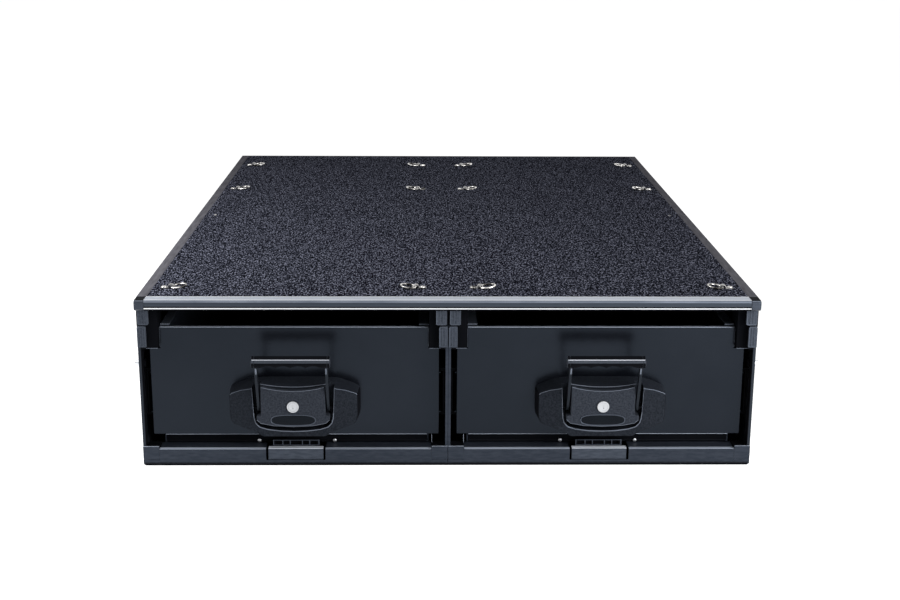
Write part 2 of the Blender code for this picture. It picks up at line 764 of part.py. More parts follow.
def housing_cutters():
    """The channel round the lock plate, the hollows behind it, and the holes for barrel, pins and stem."""
    base = face_setback - seat_gap + cut_overrun
    floor = handle_front + channel_depth
    outer = channel_outer_shares[:-1]
    outer_left = [(-across, up) for across, up in outer]
    path = outer + [channel_outer_shares[-1]] + outer_left[::-1]
    inner = [(-across, up) for across, up in channel_inner_shares[:0:-1]] + channel_inner_shares
    yield "channel", extruded([housing_point(*point) for point in path + inner], "Y",
                              handle_front - cut_overrun, floor)
    wall_share = 1 - housing_wall / (housing_height / 2)
    yield "hollow", extruded(scaled_outline(housing_outline(), wall_share), "Y", floor + housing_wall, base)
    pocket_front = handle_front + housing_wall
    pocket_rear = floor + housing_wall + cut_overrun
    for name, sense in (("wing_low", -1), ("wing_high", 1)):
        outline = [housing_point(sense * across, up) for across, up in wing_pocket_shares]
        yield name, extruded(outline, "Y", pocket_front, pocket_rear)
    yield "plate_pocket", extruded([housing_point(*point) for point in plate_pocket_shares], "Y",
                                   plate_front + housing_wall, pocket_rear)
    radius = lock_body_radius + seat_gap
    bore = turned([(0, -cut_overrun), (radius, -cut_overrun), (radius, housing_wall + cut_overrun),
                   (0, housing_wall + cut_overrun)], lock_sides)
    yield "lock_bore", moved_by(turned_to(bore, -math.pi / 2, "X"), (0, plate_front, lock_height))
    for name, sense in (("pin_hole_low", -1), ("pin_hole_high", 1)):
        start = arm_middle + arm_thickness
        hole = turned([(0, start), (pin_hole_radius, start), (pin_hole_radius, pin_reach + cut_overrun),
                       (0, pin_reach + cut_overrun)], pin_sides)
        yield name, moved_by(turned_to(hole, sense * math.pi / 2, "Y"), (0, pivot_setback, pivot_height))
    slot_front = stem_front() - stem_gap
    yield "stem_slot", box((-stem_half_width - stem_gap, slot_front, housing_bottom - cut_overrun),
                           (stem_half_width + stem_gap, base, housing_bottom + housing_wall + cut_overrun))


def stem_front():
    """How far behind the panels' front edges the latch stem's front lies."""
    return face_setback - seat_gap - stem_gap - stem_thickness


def make_housing(name, module, housing_mesh):
    """A handle housing: a hollow moulding with a channel for the bail round its lock plate."""
    housing = piece(name, housing_mesh, plastic_finish, module)
    plate = extruded(plate_outline(), "Y", plate_front, handle_front + housing_wall / 2)
    combine(housing, helper(name + "_plate", plate, module), "UNION")
    for cutter, work in housing_cutters():
        combine(housing, helper(name + "_" + cutter, work, module), "DIFFERENCE")
    pad = extruded(badge_outline(), "Y", plate_front - badge_thickness, plate_front + housing_wall / 2)
    combine(housing, helper(name + "_pad", pad, module), "UNION")


def grip_lift(across):
    """How far the grip's underside is drawn up at a place along it."""
    half_span = finger_pitch * finger_count / 2
    if abs(across) >= half_span:
        return 0
    phase = (across + half_span) / finger_pitch
    return finger_groove * math.sin(math.pi * (phase % 1))


def grip_stations():
    """Places along the grip, with the share of its radius at each."""
    half_span = finger_pitch * finger_count / 2
    places = [(-grip_half_width * along, size) for along, size in grip_end_shares]
    count = finger_count * finger_steps
    for step in range(count + 1):
        places.append((-half_span + 2 * half_span * step / count, 1))
    places += [(grip_half_width * along, size) for along, size in reversed(grip_end_shares)]
    return places


def grip():
    """The grip: a round bar with finger grooves underneath, its middle at the origin."""
    work = bmesh.new()
    loops = []
    for across, size in grip_stations():
        turn = Matrix.Translation((across, 0, 0)) @ Matrix.Rotation(math.pi / 2, 4, "Y")
        ring = bmesh.ops.create_circle(work, segments=grip_sides, radius=grip_radius * size,
                                       matrix=turn)["verts"]
        for vert in ring:
            under = max(0, -vert.co.z / grip_radius)
            vert.co.z += grip_lift(across) * under
        loops.append(ring)
    edges = [[edge for edge in work.edges if edge.verts[0] in ring and edge.verts[1] in ring]
             for ring in loops]
    for near, far in zip(edges, edges[1:]):
        bmesh.ops.bridge_loops(work, edges=near + far)
    bmesh.ops.contextual_create(work, geom=edges[0])
    bmesh.ops.contextual_create(work, geom=edges[-1])
    bmesh.ops.recalc_face_normals(work, faces=work.faces)
    return work


def arm_outline(length):
    """Side view of a bail arm, from its round eye at the origin up to the grip."""
    outline = [(arm_half_depth, length), (-arm_half_depth, length)]
    for step in range(arm_eye_steps + 1):
        angle = math.pi + math.pi * step / arm_eye_steps
        outline.append((arm_eye_radius * math.cos(angle), arm_eye_radius * math.sin(angle)))
    return outline


def make_bail(name, module, grip_mesh, length, lean):
    """A bail on its pivot axis: two arms with pins, and the grip between them."""
    bail = piece(name, grip_mesh, bail_finish, module, (0, pivot_setback, pivot_height), lean)
    for end, sense in (("low", -1), ("high", 1)):
        near = sense * (arm_middle - arm_thickness / 2)
        far = sense * (arm_middle + arm_thickness / 2)
        arm = extruded(arm_outline(length), "X", near, far)
        start = arm_middle
        pin = turned([(0, start), (pin_radius, start), (pin_radius, pin_reach), (0, pin_reach)], pin_sides)
        pin = turned_to(pin, sense * math.pi / 2, "Y")
        for kind, work in (("arm", arm), ("pin", pin)):
            tool = helper(name + "_" + kind + "_" + end, work, module, (0, pivot_setback, pivot_height))
            tool.rotation_euler = (lean, 0, 0)
            combine(bail, tool, "UNION")


def lock_profile():
    """Half section of the lock barrel, from its face back along its axis."""
    chamfer = lock_face_thickness / 4
    face = seat_gap
    return [(0, -lock_face_thickness - face), (lock_face_radius - chamfer, -lock_face_thickness - face),
            (lock_face_radius, -lock_face_thickness - face + chamfer), (lock_face_radius, -face),
            (lock_body_radius, -face), (lock_body_radius, lock_body_length), (0, lock_body_length)]


def make_lock(name, module, barrel_mesh):
    """A lock barrel on its own axis, with a keyway in its face and a cam that hangs at its rear."""
    place_at = (0, plate_front, lock_height)
    lock = piece(name, barrel_mesh, chrome_finish, module, place_at)
    front = -lock_face_thickness - seat_gap
    keyway = box((-keyway_width / 2, front - cut_overrun, -keyway_height / 2),
                 (keyway_width / 2, front + keyway_depth, keyway_height / 2))
    combine(lock, helper(name + "_keyway", keyway, module, place_at), "DIFFERENCE")
    cam = box((-cam_width / 2, lock_body_length - cam_thickness / 2, -cam_length),
              (cam_width / 2, lock_body_length + cam_thickness / 2, cam_width / 2))
    combine(lock, helper(name + "_cam", cam, module, place_at), "UNION")


def latch_pockets(front):
    """The windows between the latch bolt's ribs, as a cutter."""
    places = [-place for place in reversed(rib_places)] + rib_places
    low = latch_bottom + latch_rail
    high = latch_bottom + latch_height - latch_rail
    return gathered([box((start + rib_half_width, front - cut_overrun, low),
                         (end - rib_half_width, front + latch_pocket_depth, high))
                     for start, end in zip(places, places[1:])])


def make_latch(name, module, latch_mesh, front):
    """A latch bolt: a ribbed block that drops behind the strike, on a stem from the bail."""
    latch = piece(name, latch_mesh, plastic_finish, module)
    combine(latch, helper(name + "_pockets", latch_pockets(front), module), "DIFFERENCE")
    stem_y = stem_front()
    stem = box((-stem_half_width, stem_y, latch_bottom + latch_height / 2),
               (stem_half_width, stem_y + stem_thickness, stem_top))
    combine(latch, helper(name + "_stem", stem, module), "UNION")


def make_drawers(modules):
    """Everything that slides out with each drawer, or works on it."""
    tray = extruded(tray_outline(), "Y", tray_front, tray_front + tray_length)
    tray_mesh = as_mesh("drawer_tray", tray)
    face = extruded(face_outline(0), "Y", face_setback, face_setback + face_depth)
    face_mesh = as_mesh("drawer_face", face)
    housing_mesh = as_mesh("handle_housing", drafted_housing())
    length = math.hypot(grip_rise, grip_forward)
    lean = math.atan2(grip_forward, grip_rise)
    grip_mesh = as_mesh("handle_bail", moved_by(grip(), (0, 0, length)))
    barrel_mesh = as_mesh("lock_barrel", turned_to(turned(lock_profile(), lock_sides), -math.pi / 2, "X"))
    latch_front = -sill_front + sill_sheet + seat_gap + strike_ledge_depth + running_gap
    latch_mesh = as_mesh("latch_bolt", box((-latch_half_width, latch_front, latch_bottom),
                                           (latch_half_width, latch_front + latch_thickness,
                                            latch_bottom + latch_height)))
    for side, module in modules.items():
        make_tray("drawer_tray_" + side, module, tray_mesh)
        make_face("drawer_face_" + side, module, face_mesh)
        make_housing("handle_housing_" + side, module, housing_mesh)
        make_bail("handle_bail_" + side, module, grip_mesh, length, lean)
        make_lock("lock_barrel_" + side, module, barrel_mesh)
        make_latch("latch_bolt_" + side, module, latch_mesh, latch_front)


ring_height = cabinet_height + seat_gap + ring_wire_radius


def ring_mesh(towards):
    """A tie-down ring that lies flat, its hinge point at the origin."""
    work = bmesh.new()
    turn = Matrix.Translation((0, 0, 0)) @ Matrix.Rotation(math.pi / 2, 4, "X")
    start = bmesh.ops.create_circle(work, segments=ring_sides, radius=ring_wire_radius,
                                    matrix=turn)["verts"]
    edges = list(work.edges)
    bmesh.ops.translate(work, verts=start, vec=(ring_radius, 0, 0))
    bmesh.ops.spin(work, geom=start + edges, cent=(0, 0, 0), axis=(0, 0, 1), angle=math.tau,
                   steps=ring_steps, use_merge=True)
    bmesh.ops.remove_doubles(work, verts=work.verts, dist=merge_distance)
    bmesh.ops.translate(work, verts=work.verts, vec=(towards * ring_radius, 0, 0))
    bmesh.ops.recalc_face_normals(work, faces=work.faces)
    return as_mesh("tie_ring", work)


def strap_outline(towards):
    """Side view of a strap: a screw end, an arch over the ring, and a short foot under the ring's loop."""
    low = seat_gap
    high = seat_gap + strap_thickness
    middle = seat_gap + ring_wire_radius
    outer = strap_arch_radius + strap_thickness
    end = strap_screw_reach + strap_end
    outside = [(-end, low), (-end, high), (-outer, high)]
    for step in range(strap_arch_steps + 1):
        angle = math.pi - math.pi * step / strap_arch_steps
        outside.append((outer * math.cos(angle), middle + outer * math.sin(angle)))
    tip = outer + strap_foot
    outside += [(outer, high), (tip, high), (tip, low), (strap_arch_radius, low)]
    for step in range(strap_arch_steps + 1):
        angle = math.pi * step / strap_arch_steps
        outside.append((strap_arch_radius * math.cos(angle), middle + strap_arch_radius * math.sin(angle)))
    outside.append((-strap_arch_radius, low))
    return [(towards * across, cabinet_height + up) for across, up in outside]


def tie_screw():
    """A tie-down screw: a low domed head over the strap, and a shank down into the strip under the deck."""
    head_low = cabinet_height + seat_gap + strap_thickness / 2
    head_high = cabinet_height + seat_gap + strap_thickness + tie_screw_head_height
    shank_low = board_bottom - seat_gap - trim_wall / 2
    crown = tie_screw_head_radius * tie_screw_crown_share
    edge = head_high - tie_screw_head_height / 2
    return turned([(0, shank_low), (tie_screw_radius, shank_low), (tie_screw_radius, head_low),
                   (tie_screw_head_radius, head_low), (tie_screw_head_radius, edge), (crown, head_high),
                   (0, head_high)], tie_screw_sides)


def make_tie_downs(cabinet):
    """A strip under the deck at each row, with its four straps and screws, and the twelve rings."""
    strip_high = board_bottom - seat_gap
    strip_low = deck_underside
    rows = ("front", "middle", "rear")
    meshes = {1: ring_mesh(1), -1: ring_mesh(-1)}
    for row, setback in enumerate(tie_rows):
        name = "tie_down_strip_" + rows[row]
        half = tie_strip_width / 2
        strip = piece(name, as_mesh(name, box((-tie_strip_half_length, setback - half, strip_low),
                                              (tie_strip_half_length, setback + half, strip_high))),
                      chrome_finish, cabinet)
        straps = []
        screws = []
        for count, (at_row, across, along, towards) in enumerate(tie_places()):
            if at_row != row:
                continue
            strap = extruded(strap_outline(towards), "Y", along - strap_width / 2, along + strap_width / 2)
            straps.append(moved_by(strap, (across, 0, 0)))
            screws.append(moved_by(tie_screw(), (across - towards * strap_screw_reach, along, 0)))
            ring_name = "tie_ring_" + rows[row] + "_" + str(count % 4 + 1)
            piece(ring_name, meshes[towards], chrome_finish, cabinet, (across, along, ring_height))
        combine(strip, helper(name + "_screws", gathered(screws), cabinet), "UNION")
        combine(strip, helper(name + "_straps", gathered(straps), cabinet), "UNION")


def bolt_profile():
    """Half section of a side bolt, from its outer tip in through the panel to its nut."""
    outside = bolt_tip_length
    head = bolt_head_height + seat_gap
    nut_start = panel_sheet + seat_gap
    nut_end = nut_start + bolt_inner_length
    return [(0, -outside), (bolt_tip_radius, -outside), (bolt_tip_radius, -head), (bolt_head_radius, -head),
            (bolt_head_radius, -seat_gap), (bolt_tip_radius, -seat_gap), (bolt_tip_radius, nut_start),
            (bolt_nut_radius, nut_start), (bolt_nut_radius, nut_end), (0, nut_end)]


def make_side_bolts(cabinet):
    """The bolt in each outer panel, with its nut inside."""
    for side, sense in (("left", -1), ("right", 1)):
        work = turned_to(turned(bolt_profile(), bolt_sides), -sense * math.pi / 2, "Y")
        name = "side_bolt_" + side
        piece(name, as_mesh(name, work), chrome_finish, cabinet,
              (sense * module_width, bolt_setback, bolt_height))


cabinet_frame = frame("cabinet_frame", (0, front_y, 0))
module_frames = {"left": frame("left_module", (-module_middle, 0, 0), cabinet_frame),
                 "right": frame("right_module", (module_middle, 0, 0), cabinet_frame)}
make_deck(cabinet_frame)
make_panels(cabinet_frame)
make_base(module_frames)
make_guides_and_rails(module_frames)
make_drawers(module_frames)
make_tie_downs(cabinet_frame)
make_side_bolts(cabinet_frame)
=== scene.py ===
import math

import bmesh
import bpy
from mathutils import Matrix, Vector, noise


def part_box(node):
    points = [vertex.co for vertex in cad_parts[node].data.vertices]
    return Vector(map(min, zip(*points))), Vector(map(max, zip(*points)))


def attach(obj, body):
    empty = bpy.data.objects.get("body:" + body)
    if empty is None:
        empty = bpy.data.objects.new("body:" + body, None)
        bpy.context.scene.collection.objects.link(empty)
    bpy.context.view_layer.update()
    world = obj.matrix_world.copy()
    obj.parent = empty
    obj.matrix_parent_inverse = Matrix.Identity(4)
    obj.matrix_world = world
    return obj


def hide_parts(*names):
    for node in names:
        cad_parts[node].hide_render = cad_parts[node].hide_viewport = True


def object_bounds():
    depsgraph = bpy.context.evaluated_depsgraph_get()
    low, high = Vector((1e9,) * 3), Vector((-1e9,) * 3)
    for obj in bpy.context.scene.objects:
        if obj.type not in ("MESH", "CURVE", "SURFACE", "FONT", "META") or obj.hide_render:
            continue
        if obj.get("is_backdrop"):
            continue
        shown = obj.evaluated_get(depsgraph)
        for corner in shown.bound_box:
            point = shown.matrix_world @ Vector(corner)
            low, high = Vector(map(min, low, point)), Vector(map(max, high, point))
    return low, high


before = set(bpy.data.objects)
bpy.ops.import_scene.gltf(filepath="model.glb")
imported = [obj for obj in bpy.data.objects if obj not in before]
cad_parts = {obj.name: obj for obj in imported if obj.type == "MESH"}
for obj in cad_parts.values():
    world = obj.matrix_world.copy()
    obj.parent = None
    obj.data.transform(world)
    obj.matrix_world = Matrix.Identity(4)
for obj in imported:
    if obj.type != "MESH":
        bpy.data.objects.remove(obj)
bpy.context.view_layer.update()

# Shapes are given in millimetres: across from the middle of a drawer, back from the front edges of the
# panels, and up from the floor. Meshes, and what the CAD gives, are in metres.
millimetre = 0.001
front_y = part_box("side_panel_left")[0].y
module_middle = 0.236
side_places = {"left": -module_middle, "right": module_middle}
merge_distance = 0.00001
smooth_angle = math.radians(35)


# Mesh helpers

def place(axis, first, second, along):
    """A point whose outline coordinates are first and second, at a distance along the axis."""
    if axis == "X":
        return Vector((along, first, second))
    if axis == "Y":
        return Vector((first, along, second))
    return Vector((first, second, along))


def in_metres(points):
    """An outline given in millimetres."""
    return [(first * millimetre, second * millimetre) for first, second in points]


def run(outline, axis, low, high):
    """The outline, run along the axis from low to high."""
    low, high = low * millimetre, high * millimetre
    work = bmesh.new()
    corners = [work.verts.new(place(axis, first, second, low)) for first, second in in_metres(outline)]
    face = work.faces.new(corners)
    grown = bmesh.ops.extrude_face_region(work, geom=[face])
    moved = [item for item in grown["geom"] if isinstance(item, bmesh.types.BMVert)]
    bmesh.ops.translate(work, verts=moved, vec=place(axis, 0, 0, high - low))
    bmesh.ops.recalc_face_normals(work, faces=work.faces)
    return work


def block(low, high, sense=1):
    """A block between two corners, mirrored to the left where sense is -1."""
    near, far = sorted((sense * low[0], sense * high[0]))
    outline = [(near, low[1]), (far, low[1]), (far, high[1]), (near, high[1])]
    return run(outline, "Z", low[2], high[2])


def spun(work, start, steps):
    """The mesh, with its start turned once about the upright axis."""
    bmesh.ops.spin(work, geom=start, cent=(0, 0, 0), axis=(0, 0, 1), angle=math.tau, steps=steps,
                   use_merge=True)
    bmesh.ops.remove_doubles(work, verts=work.verts, dist=merge_distance)
    bmesh.ops.recalc_face_normals(work, faces=work.faces)
    return work


def turned(profile, steps, axis="Z"):
    """A profile of (radius, height) points from the axis round to the axis again, turned once about it."""
    work = bmesh.new()
    corners = [work.verts.new((radius, 0, height)) for radius, height in in_metres(profile)]
    edges = [work.edges.new(pair) for pair in zip(corners, corners[1:])]
    spun(work, corners + edges, steps)
    if axis == "Y":
        turned_to(work, math.pi / 2, "X")
    if axis == "X":
        turned_to(work, math.pi / 2, "Y")
    return work


def turned_outwards(profile, steps, sense):
    """A profile turned about the axis across, which points to the left where sense is -1."""
    work = turned(profile, steps, "X")
    if sense < 0:
        turned_to(work, math.pi, "Z")
    return work


def lofted(front, rear, front_along, rear_along):
    """A solid between two outlines with as many points, one at each end."""
    work = bmesh.new()
    rings = []
    for outline, along in ((front, front_along), (rear, rear_along)):
        corners = [work.verts.new((across, along * millimetre, up)) for across, up in in_metres(outline)]
        work.faces.new(corners)
        rings.append([work.edges.get((corners[index - 1], corners[index])) for index in range(len(corners))])
    bmesh.ops.bridge_loops(work, edges=rings[0] + rings[1])
    bmesh.ops.recalc_face_normals(work, faces=work.faces)
    return work


def turned_to(work, angle, axis):
    """The mesh, turned about an axis through the origin."""
    bmesh.ops.rotate(work, verts=work.verts, cent=(0, 0, 0), matrix=Matrix.Rotation(angle, 3, axis))
    return work


def moved_by(work, offset):
    """The mesh, moved by an offset in metres."""
    bmesh.ops.translate(work, verts=work.verts, vec=offset)
    return work


def gathered(parts):
    """Several meshes in one."""
    whole = bmesh.new()
    for part in parts:
        carrier = bpy.data.meshes.new("carrier")
        part.to_mesh(carrier)
        part.free()
        whole.from_mesh(carrier)
        bpy.data.meshes.remove(carrier)
    return whole


def soften(work, width, segments=2, least_angle=30, chosen=None):
    """Round the edges that are sharper than the angle, or those of them that are chosen."""
    limit = math.radians(least_angle)
    edges = [edge for edge in work.edges if len(edge.link_faces) == 2 and edge.calc_face_angle(0) > limit
             and (chosen is None or chosen(edge))]
    bmesh.ops.bevel(work, geom=edges, offset=width * millimetre, offset_type="OFFSET", affect="EDGES",
                    segments=segments, profile=0.5, material=-1, clamp_overlap=True)
    return work


def at_front(limit):
    """A test for edges that lie wholly in front of a place."""
    return lambda edge: all(vert.co.y < limit * millimetre for vert in edge.verts)


def front_faces(work, limit):
    """The faces whose middle is in front of a place."""
    return [face for face in work.faces if face.calc_center_median().y < limit * millimetre]


def split_at(work, across):
    """New edges where an upright plane at a place across cuts the mesh."""
    bmesh.ops.bisect_plane(work, geom=work.verts[:] + work.edges[:] + work.faces[:],
                           plane_co=(across * millimetre, 0, 0), plane_no=(1, 0, 0))


def strip(low, high, width, sense=1):
    """A block with its edges rounded."""
    return soften(block(low, high, sense), width)


def strip_pair(low, high, width):
    """A strip on the right, and its mirror image on the left."""
    return gathered([strip(low, high, width, sense) for sense in (-1, 1)])


def shown_mesh(item):
    """The mesh that an item shows."""
    graph = bpy.context.evaluated_depsgraph_get()
    made = bmesh.new()
    made.from_mesh(item.evaluated_get(graph).to_mesh())
    return made


def cut_from(work, tool):
    """The mesh with the tool's shape cut from it."""
    items = []
    for part in (work, tool):
        mesh = bpy.data.meshes.new("step")
        part.to_mesh(mesh)
        part.free()
        item = bpy.data.objects.new("step", mesh)
        bpy.context.scene.collection.objects.link(item)
        items.append(item)
    step = items[0].modifiers.new("step", "BOOLEAN")
    step.operation = "DIFFERENCE"
    step.solver = "EXACT"
    step.object = items[1]
    made = shown_mesh(items[0])
    for item in items:
        mesh = item.data
        bpy.data.objects.remove(item)
        bpy.data.meshes.remove(mesh)
    bmesh.ops.remove_doubles(made, verts=made.verts, dist=merge_distance)
    return made


def bead(points, radius):
    """A thin round bead along points."""
    data = bpy.data.curves.new("bead", "CURVE")
    data.dimensions = "3D"
    data.bevel_depth = radius * millimetre
    data.bevel_resolution = 1
    data.use_fill_caps = True
    line = data.splines.new("POLY")
    line.points.add(len(points) - 1)
    for point, corner in zip(line.points, points):
        point.co = (*(value * millimetre for value in corner), 1)
    item = bpy.data.objects.new("bead", data)
    bpy.context.scene.collection.objects.link(item)
    work = shown_mesh(item)
    bpy.data.objects.remove(item)
    bpy.data.curves.remove(data)
    bmesh.ops.remove_doubles(work, verts=work.verts, dist=merge_distance)
    bmesh.ops.recalc_face_normals(work, faces=work.faces)
    return work


def second_finish(work, chosen, finish_number=1):
    """Give another finish, the second as a rule, to the faces that are chosen."""
    for face in work.faces:
        if chosen(face):
            face.material_index = finish_number
    return work


def node_copy(node):
    """A CAD node's shape, merged and with its flat sides whole again."""
    work = bmesh.new()
    work.from_mesh(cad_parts[node].data)
    bmesh.ops.remove_doubles(work, verts=work.verts, dist=merge_distance)
    bmesh.ops.dissolve_limit(work, angle_limit=math.radians(1), verts=work.verts, edges=work.edges)
    return work


def mirrored(outline, sense):
    """The outline, mirrored to the left where sense is -1."""
    return [(sense * across, up) for across, up in outline]


def both_halves(right):
    """A closed outline from its right half, given from the top down."""
    return right + [(-across, up) for across, up in reversed(right) if across > 0]


def rounded(outline, reach, steps):
    """The outline with its corners rounded. The curve starts at the reach before each corner."""
    result = []
    count = len(outline)
    for index in range(count):
        before, corner, after = (Vector(outline[(index + shift) % count]) for shift in (-1, 0, 1))
        back, on = before - corner, after - corner
        start = corner + back.normalized() * min(reach, back.length * 0.49)
        end = corner + on.normalized() * min(reach, on.length * 0.49)
        for step in range(steps + 1):
            share = step / steps
            point = start * (1 - share) ** 2 + corner * 2 * share * (1 - share) + end * share ** 2
            result.append((point.x, point.y))
    return result


def add_piece(name, work, finish, body, stands_for=()):
    """A finished piece that rides on a body, and may stand for CAD nodes."""
    mesh = bpy.data.meshes.new(name)
    work.to_mesh(mesh)
    work.free()
    mesh.shade_smooth()
    mesh.set_sharp_from_angle(angle=smooth_angle)
    for coat in finish if isinstance(finish, list) else [finish]:
        mesh.materials.append(coat)
    item = bpy.data.objects.new(name, mesh)
    bpy.context.scene.collection.objects.link(item)
    flat_sides = item.modifiers.new("flat_sides", "WEIGHTED_NORMAL")
    flat_sides.keep_sharp = True
    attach(item, body)
    if stands_for:
        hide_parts(*stands_for)
    return item


def dress(node, width, finish, body, least_angle=30):
    """A softened copy of a CAD node, which stands for it."""
    work = soften(node_copy(node), width, 2, least_angle)
    add_piece(node + "_dressed", work, finish, body, [node])


def on_module(work, side):
    """Work made round a drawer's middle and the panels' front edges, moved to its side of the cabinet."""
    return moved_by(work, (side_places[side], front_y, 0))


def on_cabinet(work):
    """Work made from the panels' front edges, moved to its place."""
    return moved_by(work, (0, front_y, 0))


def add_parts(side, node, body, parts):
    """Pieces on one side that stand for a CAD node, each with its name's ending, mesh and finish."""
    for ending, work, finish in parts:
        add_piece("{}_{}".format(node, ending), on_module(work, side), finish, body, [node])


# Materials

def new_finish(name, colour, roughness, metallic, specular=0.5):
    """A material with a plain shader."""
    material = bpy.data.materials.new(name)
    material.use_nodes = True
    shader = material.node_tree.nodes["Principled BSDF"]
    shader.inputs["Base Color"].default_value = (*colour, 1)
    shader.inputs["Roughness"].default_value = roughness
    shader.inputs["Metallic"].default_value = metallic
    shader.inputs["Specular IOR Level"].default_value = specular
    return material


def noise_on(material, scale, detail, stretch):
    """A noise over the piece's own coordinates, pulled out along an axis where the stretch is small."""
    nodes, links = material.node_tree.nodes, material.node_tree.links
    coordinates = nodes.new("ShaderNodeTexCoord")
    mapping = nodes.new("ShaderNodeMapping")
    mapping.inputs["Scale"].default_value = stretch
    links.new(coordinates.outputs["Object"], mapping.inputs["Vector"])
    texture = nodes.new("ShaderNodeTexNoise")
    texture.inputs["Scale"].default_value = scale
    texture.inputs["Detail"].default_value = detail
    links.new(mapping.outputs["Vector"], texture.inputs["Vector"])
    return texture.outputs["Fac"]


def ramp_on(material, value, stops):
    """The value, run through a colour ramp of (place, colour) stops."""
    nodes, links = material.node_tree.nodes, material.node_tree.links
    ramp = nodes.new("ShaderNodeValToRGB")
    while len(ramp.color_ramp.elements) < len(stops):
        ramp.color_ramp.elements.new(0.5)
    for element, (position, colour) in zip(ramp.color_ramp.elements, stops):
        element.position = position
        element.color = (*colour, 1) if isinstance(colour, tuple) else (colour, colour, colour, 1)
    links.new(value, ramp.inputs["Fac"])
    return ramp.outputs["Color"]


def feed(material, socket, value):
    """Link a value to one of the shader's sockets."""
    shader = material.node_tree.nodes["Principled BSDF"]
    material.node_tree.links.new(value, shader.inputs[socket])


def bump_on(material, value, strength, distance):
    """A bump from the value."""
    nodes, links = material.node_tree.nodes, material.node_tree.links
    bump = nodes.new("ShaderNodeBump")
    bump.inputs["Strength"].default_value = strength
    bump.inputs["Distance"].default_value = distance
    links.new(value, bump.inputs["Height"])
    feed(material, "Normal", bump.outputs["Normal"])


cool_tint = (0.64, 0.78, 1.0, 1)
grain_depth = 0.0002


def grained(name, dark, light, grain_scale, rough, bump, stretch=(1, 1, 1), metallic=0.0, gloss=None,
            wander=14, spread=0.2):
    """A finish that wanders between two colours, with a fine grain in its surface and its roughness."""
    material = new_finish(name, light, rough[0], metallic)
    if gloss is not None:
        shader = material.node_tree.nodes["Principled BSDF"]
        shader.inputs["Specular IOR Level"].default_value = gloss
        shader.inputs["Specular Tint"].default_value = cool_tint
    slow = noise_on(material, wander, 4, stretch)
    feed(material, "Base Color", ramp_on(material, slow, [(0.5 - spread, dark), (0.5 + spread, light)]))
    fine = noise_on(material, grain_scale, 3, stretch)
    feed(material, "Roughness", ramp_on(material, fine, [(0.25, rough[0]), (0.75, rough[1])]))
    bump_on(material, fine, bump, grain_depth)
    return material


satin_coat = grained("satin_powder_coat", (0.0015, 0.0018, 0.003), (0.004, 0.0045, 0.0065), 900,
                     (0.20, 0.27), 0.04, gloss=0.26)
panel_coat = grained("panel_powder_coat", (0.008, 0.009, 0.012), (0.013, 0.015, 0.019), 700,
                     (0.38, 0.50), 0.10, gloss=0.30)
slate_coat = grained("slate_powder_coat", (0.013, 0.016, 0.023), (0.025, 0.029, 0.039), 500,
                     (0.34, 0.48), 0.22, (0.22, 1, 1), gloss=0.30, wander=300, spread=0.16)
strike_coat = grained("rubbed_strike_coat", (0.028, 0.033, 0.044), (0.052, 0.060, 0.077), 500,
                      (0.30, 0.44), 0.20, (0.22, 1, 1), gloss=0.34, wander=300, spread=0.16)
# Painted highlight: a near-white coat for the strike plate's top edge
painted_bright_highlight = grained("painted_bright_edge_highlight", (0.56, 0.60, 0.67), (0.76, 0.80, 0.87), 600,
                      (0.24, 0.34), 0.06, (0.05, 1, 1), gloss=0.5)
# Painted highlight: light strips along folded edges of the sill, the faces and the recesses
painted_edge_highlight = grained("painted_folded_edge_highlight", (0.34, 0.38, 0.46), (0.46, 0.51, 0.60), 600,
                    (0.26, 0.38), 0.06, (0.05, 1, 1), gloss=0.5)
# Painted highlight: a softer light coat for beads and strips along moulded edges
painted_soft_highlight = grained("painted_moulded_edge_highlight", (0.10, 0.115, 0.145), (0.18, 0.20, 0.245), 900,
                    (0.34, 0.46), 0.06, gloss=0.4)
# Painted shade: a black put on shadowed parts, gaps and faces turned away from the light
shadow_coat = grained("painted_shadow_black", (0.0015, 0.0015, 0.002), (0.003, 0.003, 0.004), 700,
                      (0.7, 0.8), 0.05, gloss=0.06)
# Moulded black plastic of the housing; also a band of painted shade at the sill's foot
moulded_and_painted_shade = grained("moulded_black_plastic_and_painted_shade", (0.008, 0.0095, 0.0125), (0.020, 0.023, 0.030), 1300,
                  (0.40, 0.58), 0.45, gloss=0.07, wander=420, spread=0.16)
plate_plastic = grained("lock_plate_plastic", (0.018, 0.021, 0.028), (0.040, 0.045, 0.057), 1300,
                        (0.40, 0.58), 0.45, gloss=0.09, wander=420, spread=0.16)
slate_plastic = grained("moulded_slate_plastic", (0.026, 0.031, 0.041), (0.056, 0.064, 0.081), 1300,
                        (0.42, 0.56), 0.3, gloss=0.28, wander=330, spread=0.16)
# Painted highlight: a lighter slate for raised borders, rims, ribs and bars
painted_slate_highlight = grained("painted_slate_plastic_highlight", (0.045, 0.052, 0.068), (0.070, 0.080, 0.100), 1300,
                     (0.38, 0.5), 0.15, gloss=0.35)
gloss_plastic = grained("glossy_black_plastic", (0.003, 0.0035, 0.0045), (0.006, 0.007, 0.009), 1200,
                        (0.22, 0.32), 0.05, gloss=0.10)
cap_plastic = grained("slate_cap_plastic", (0.028, 0.032, 0.042), (0.042, 0.048, 0.062), 1200,
                      (0.24, 0.34), 0.08, gloss=0.35, wander=60)
bright_aluminium = grained("bright_aluminium", (0.66, 0.68, 0.71), (0.82, 0.84, 0.87), 800,
                           (0.22, 0.34), 0.06, (0.03, 1, 1), 1.0)
tread_aluminium = grained("ribbed_aluminium", (0.30, 0.33, 0.38), (0.44, 0.47, 0.53), 800,
                          (0.28, 0.40), 0.06, (0.03, 1, 1), 1.0)
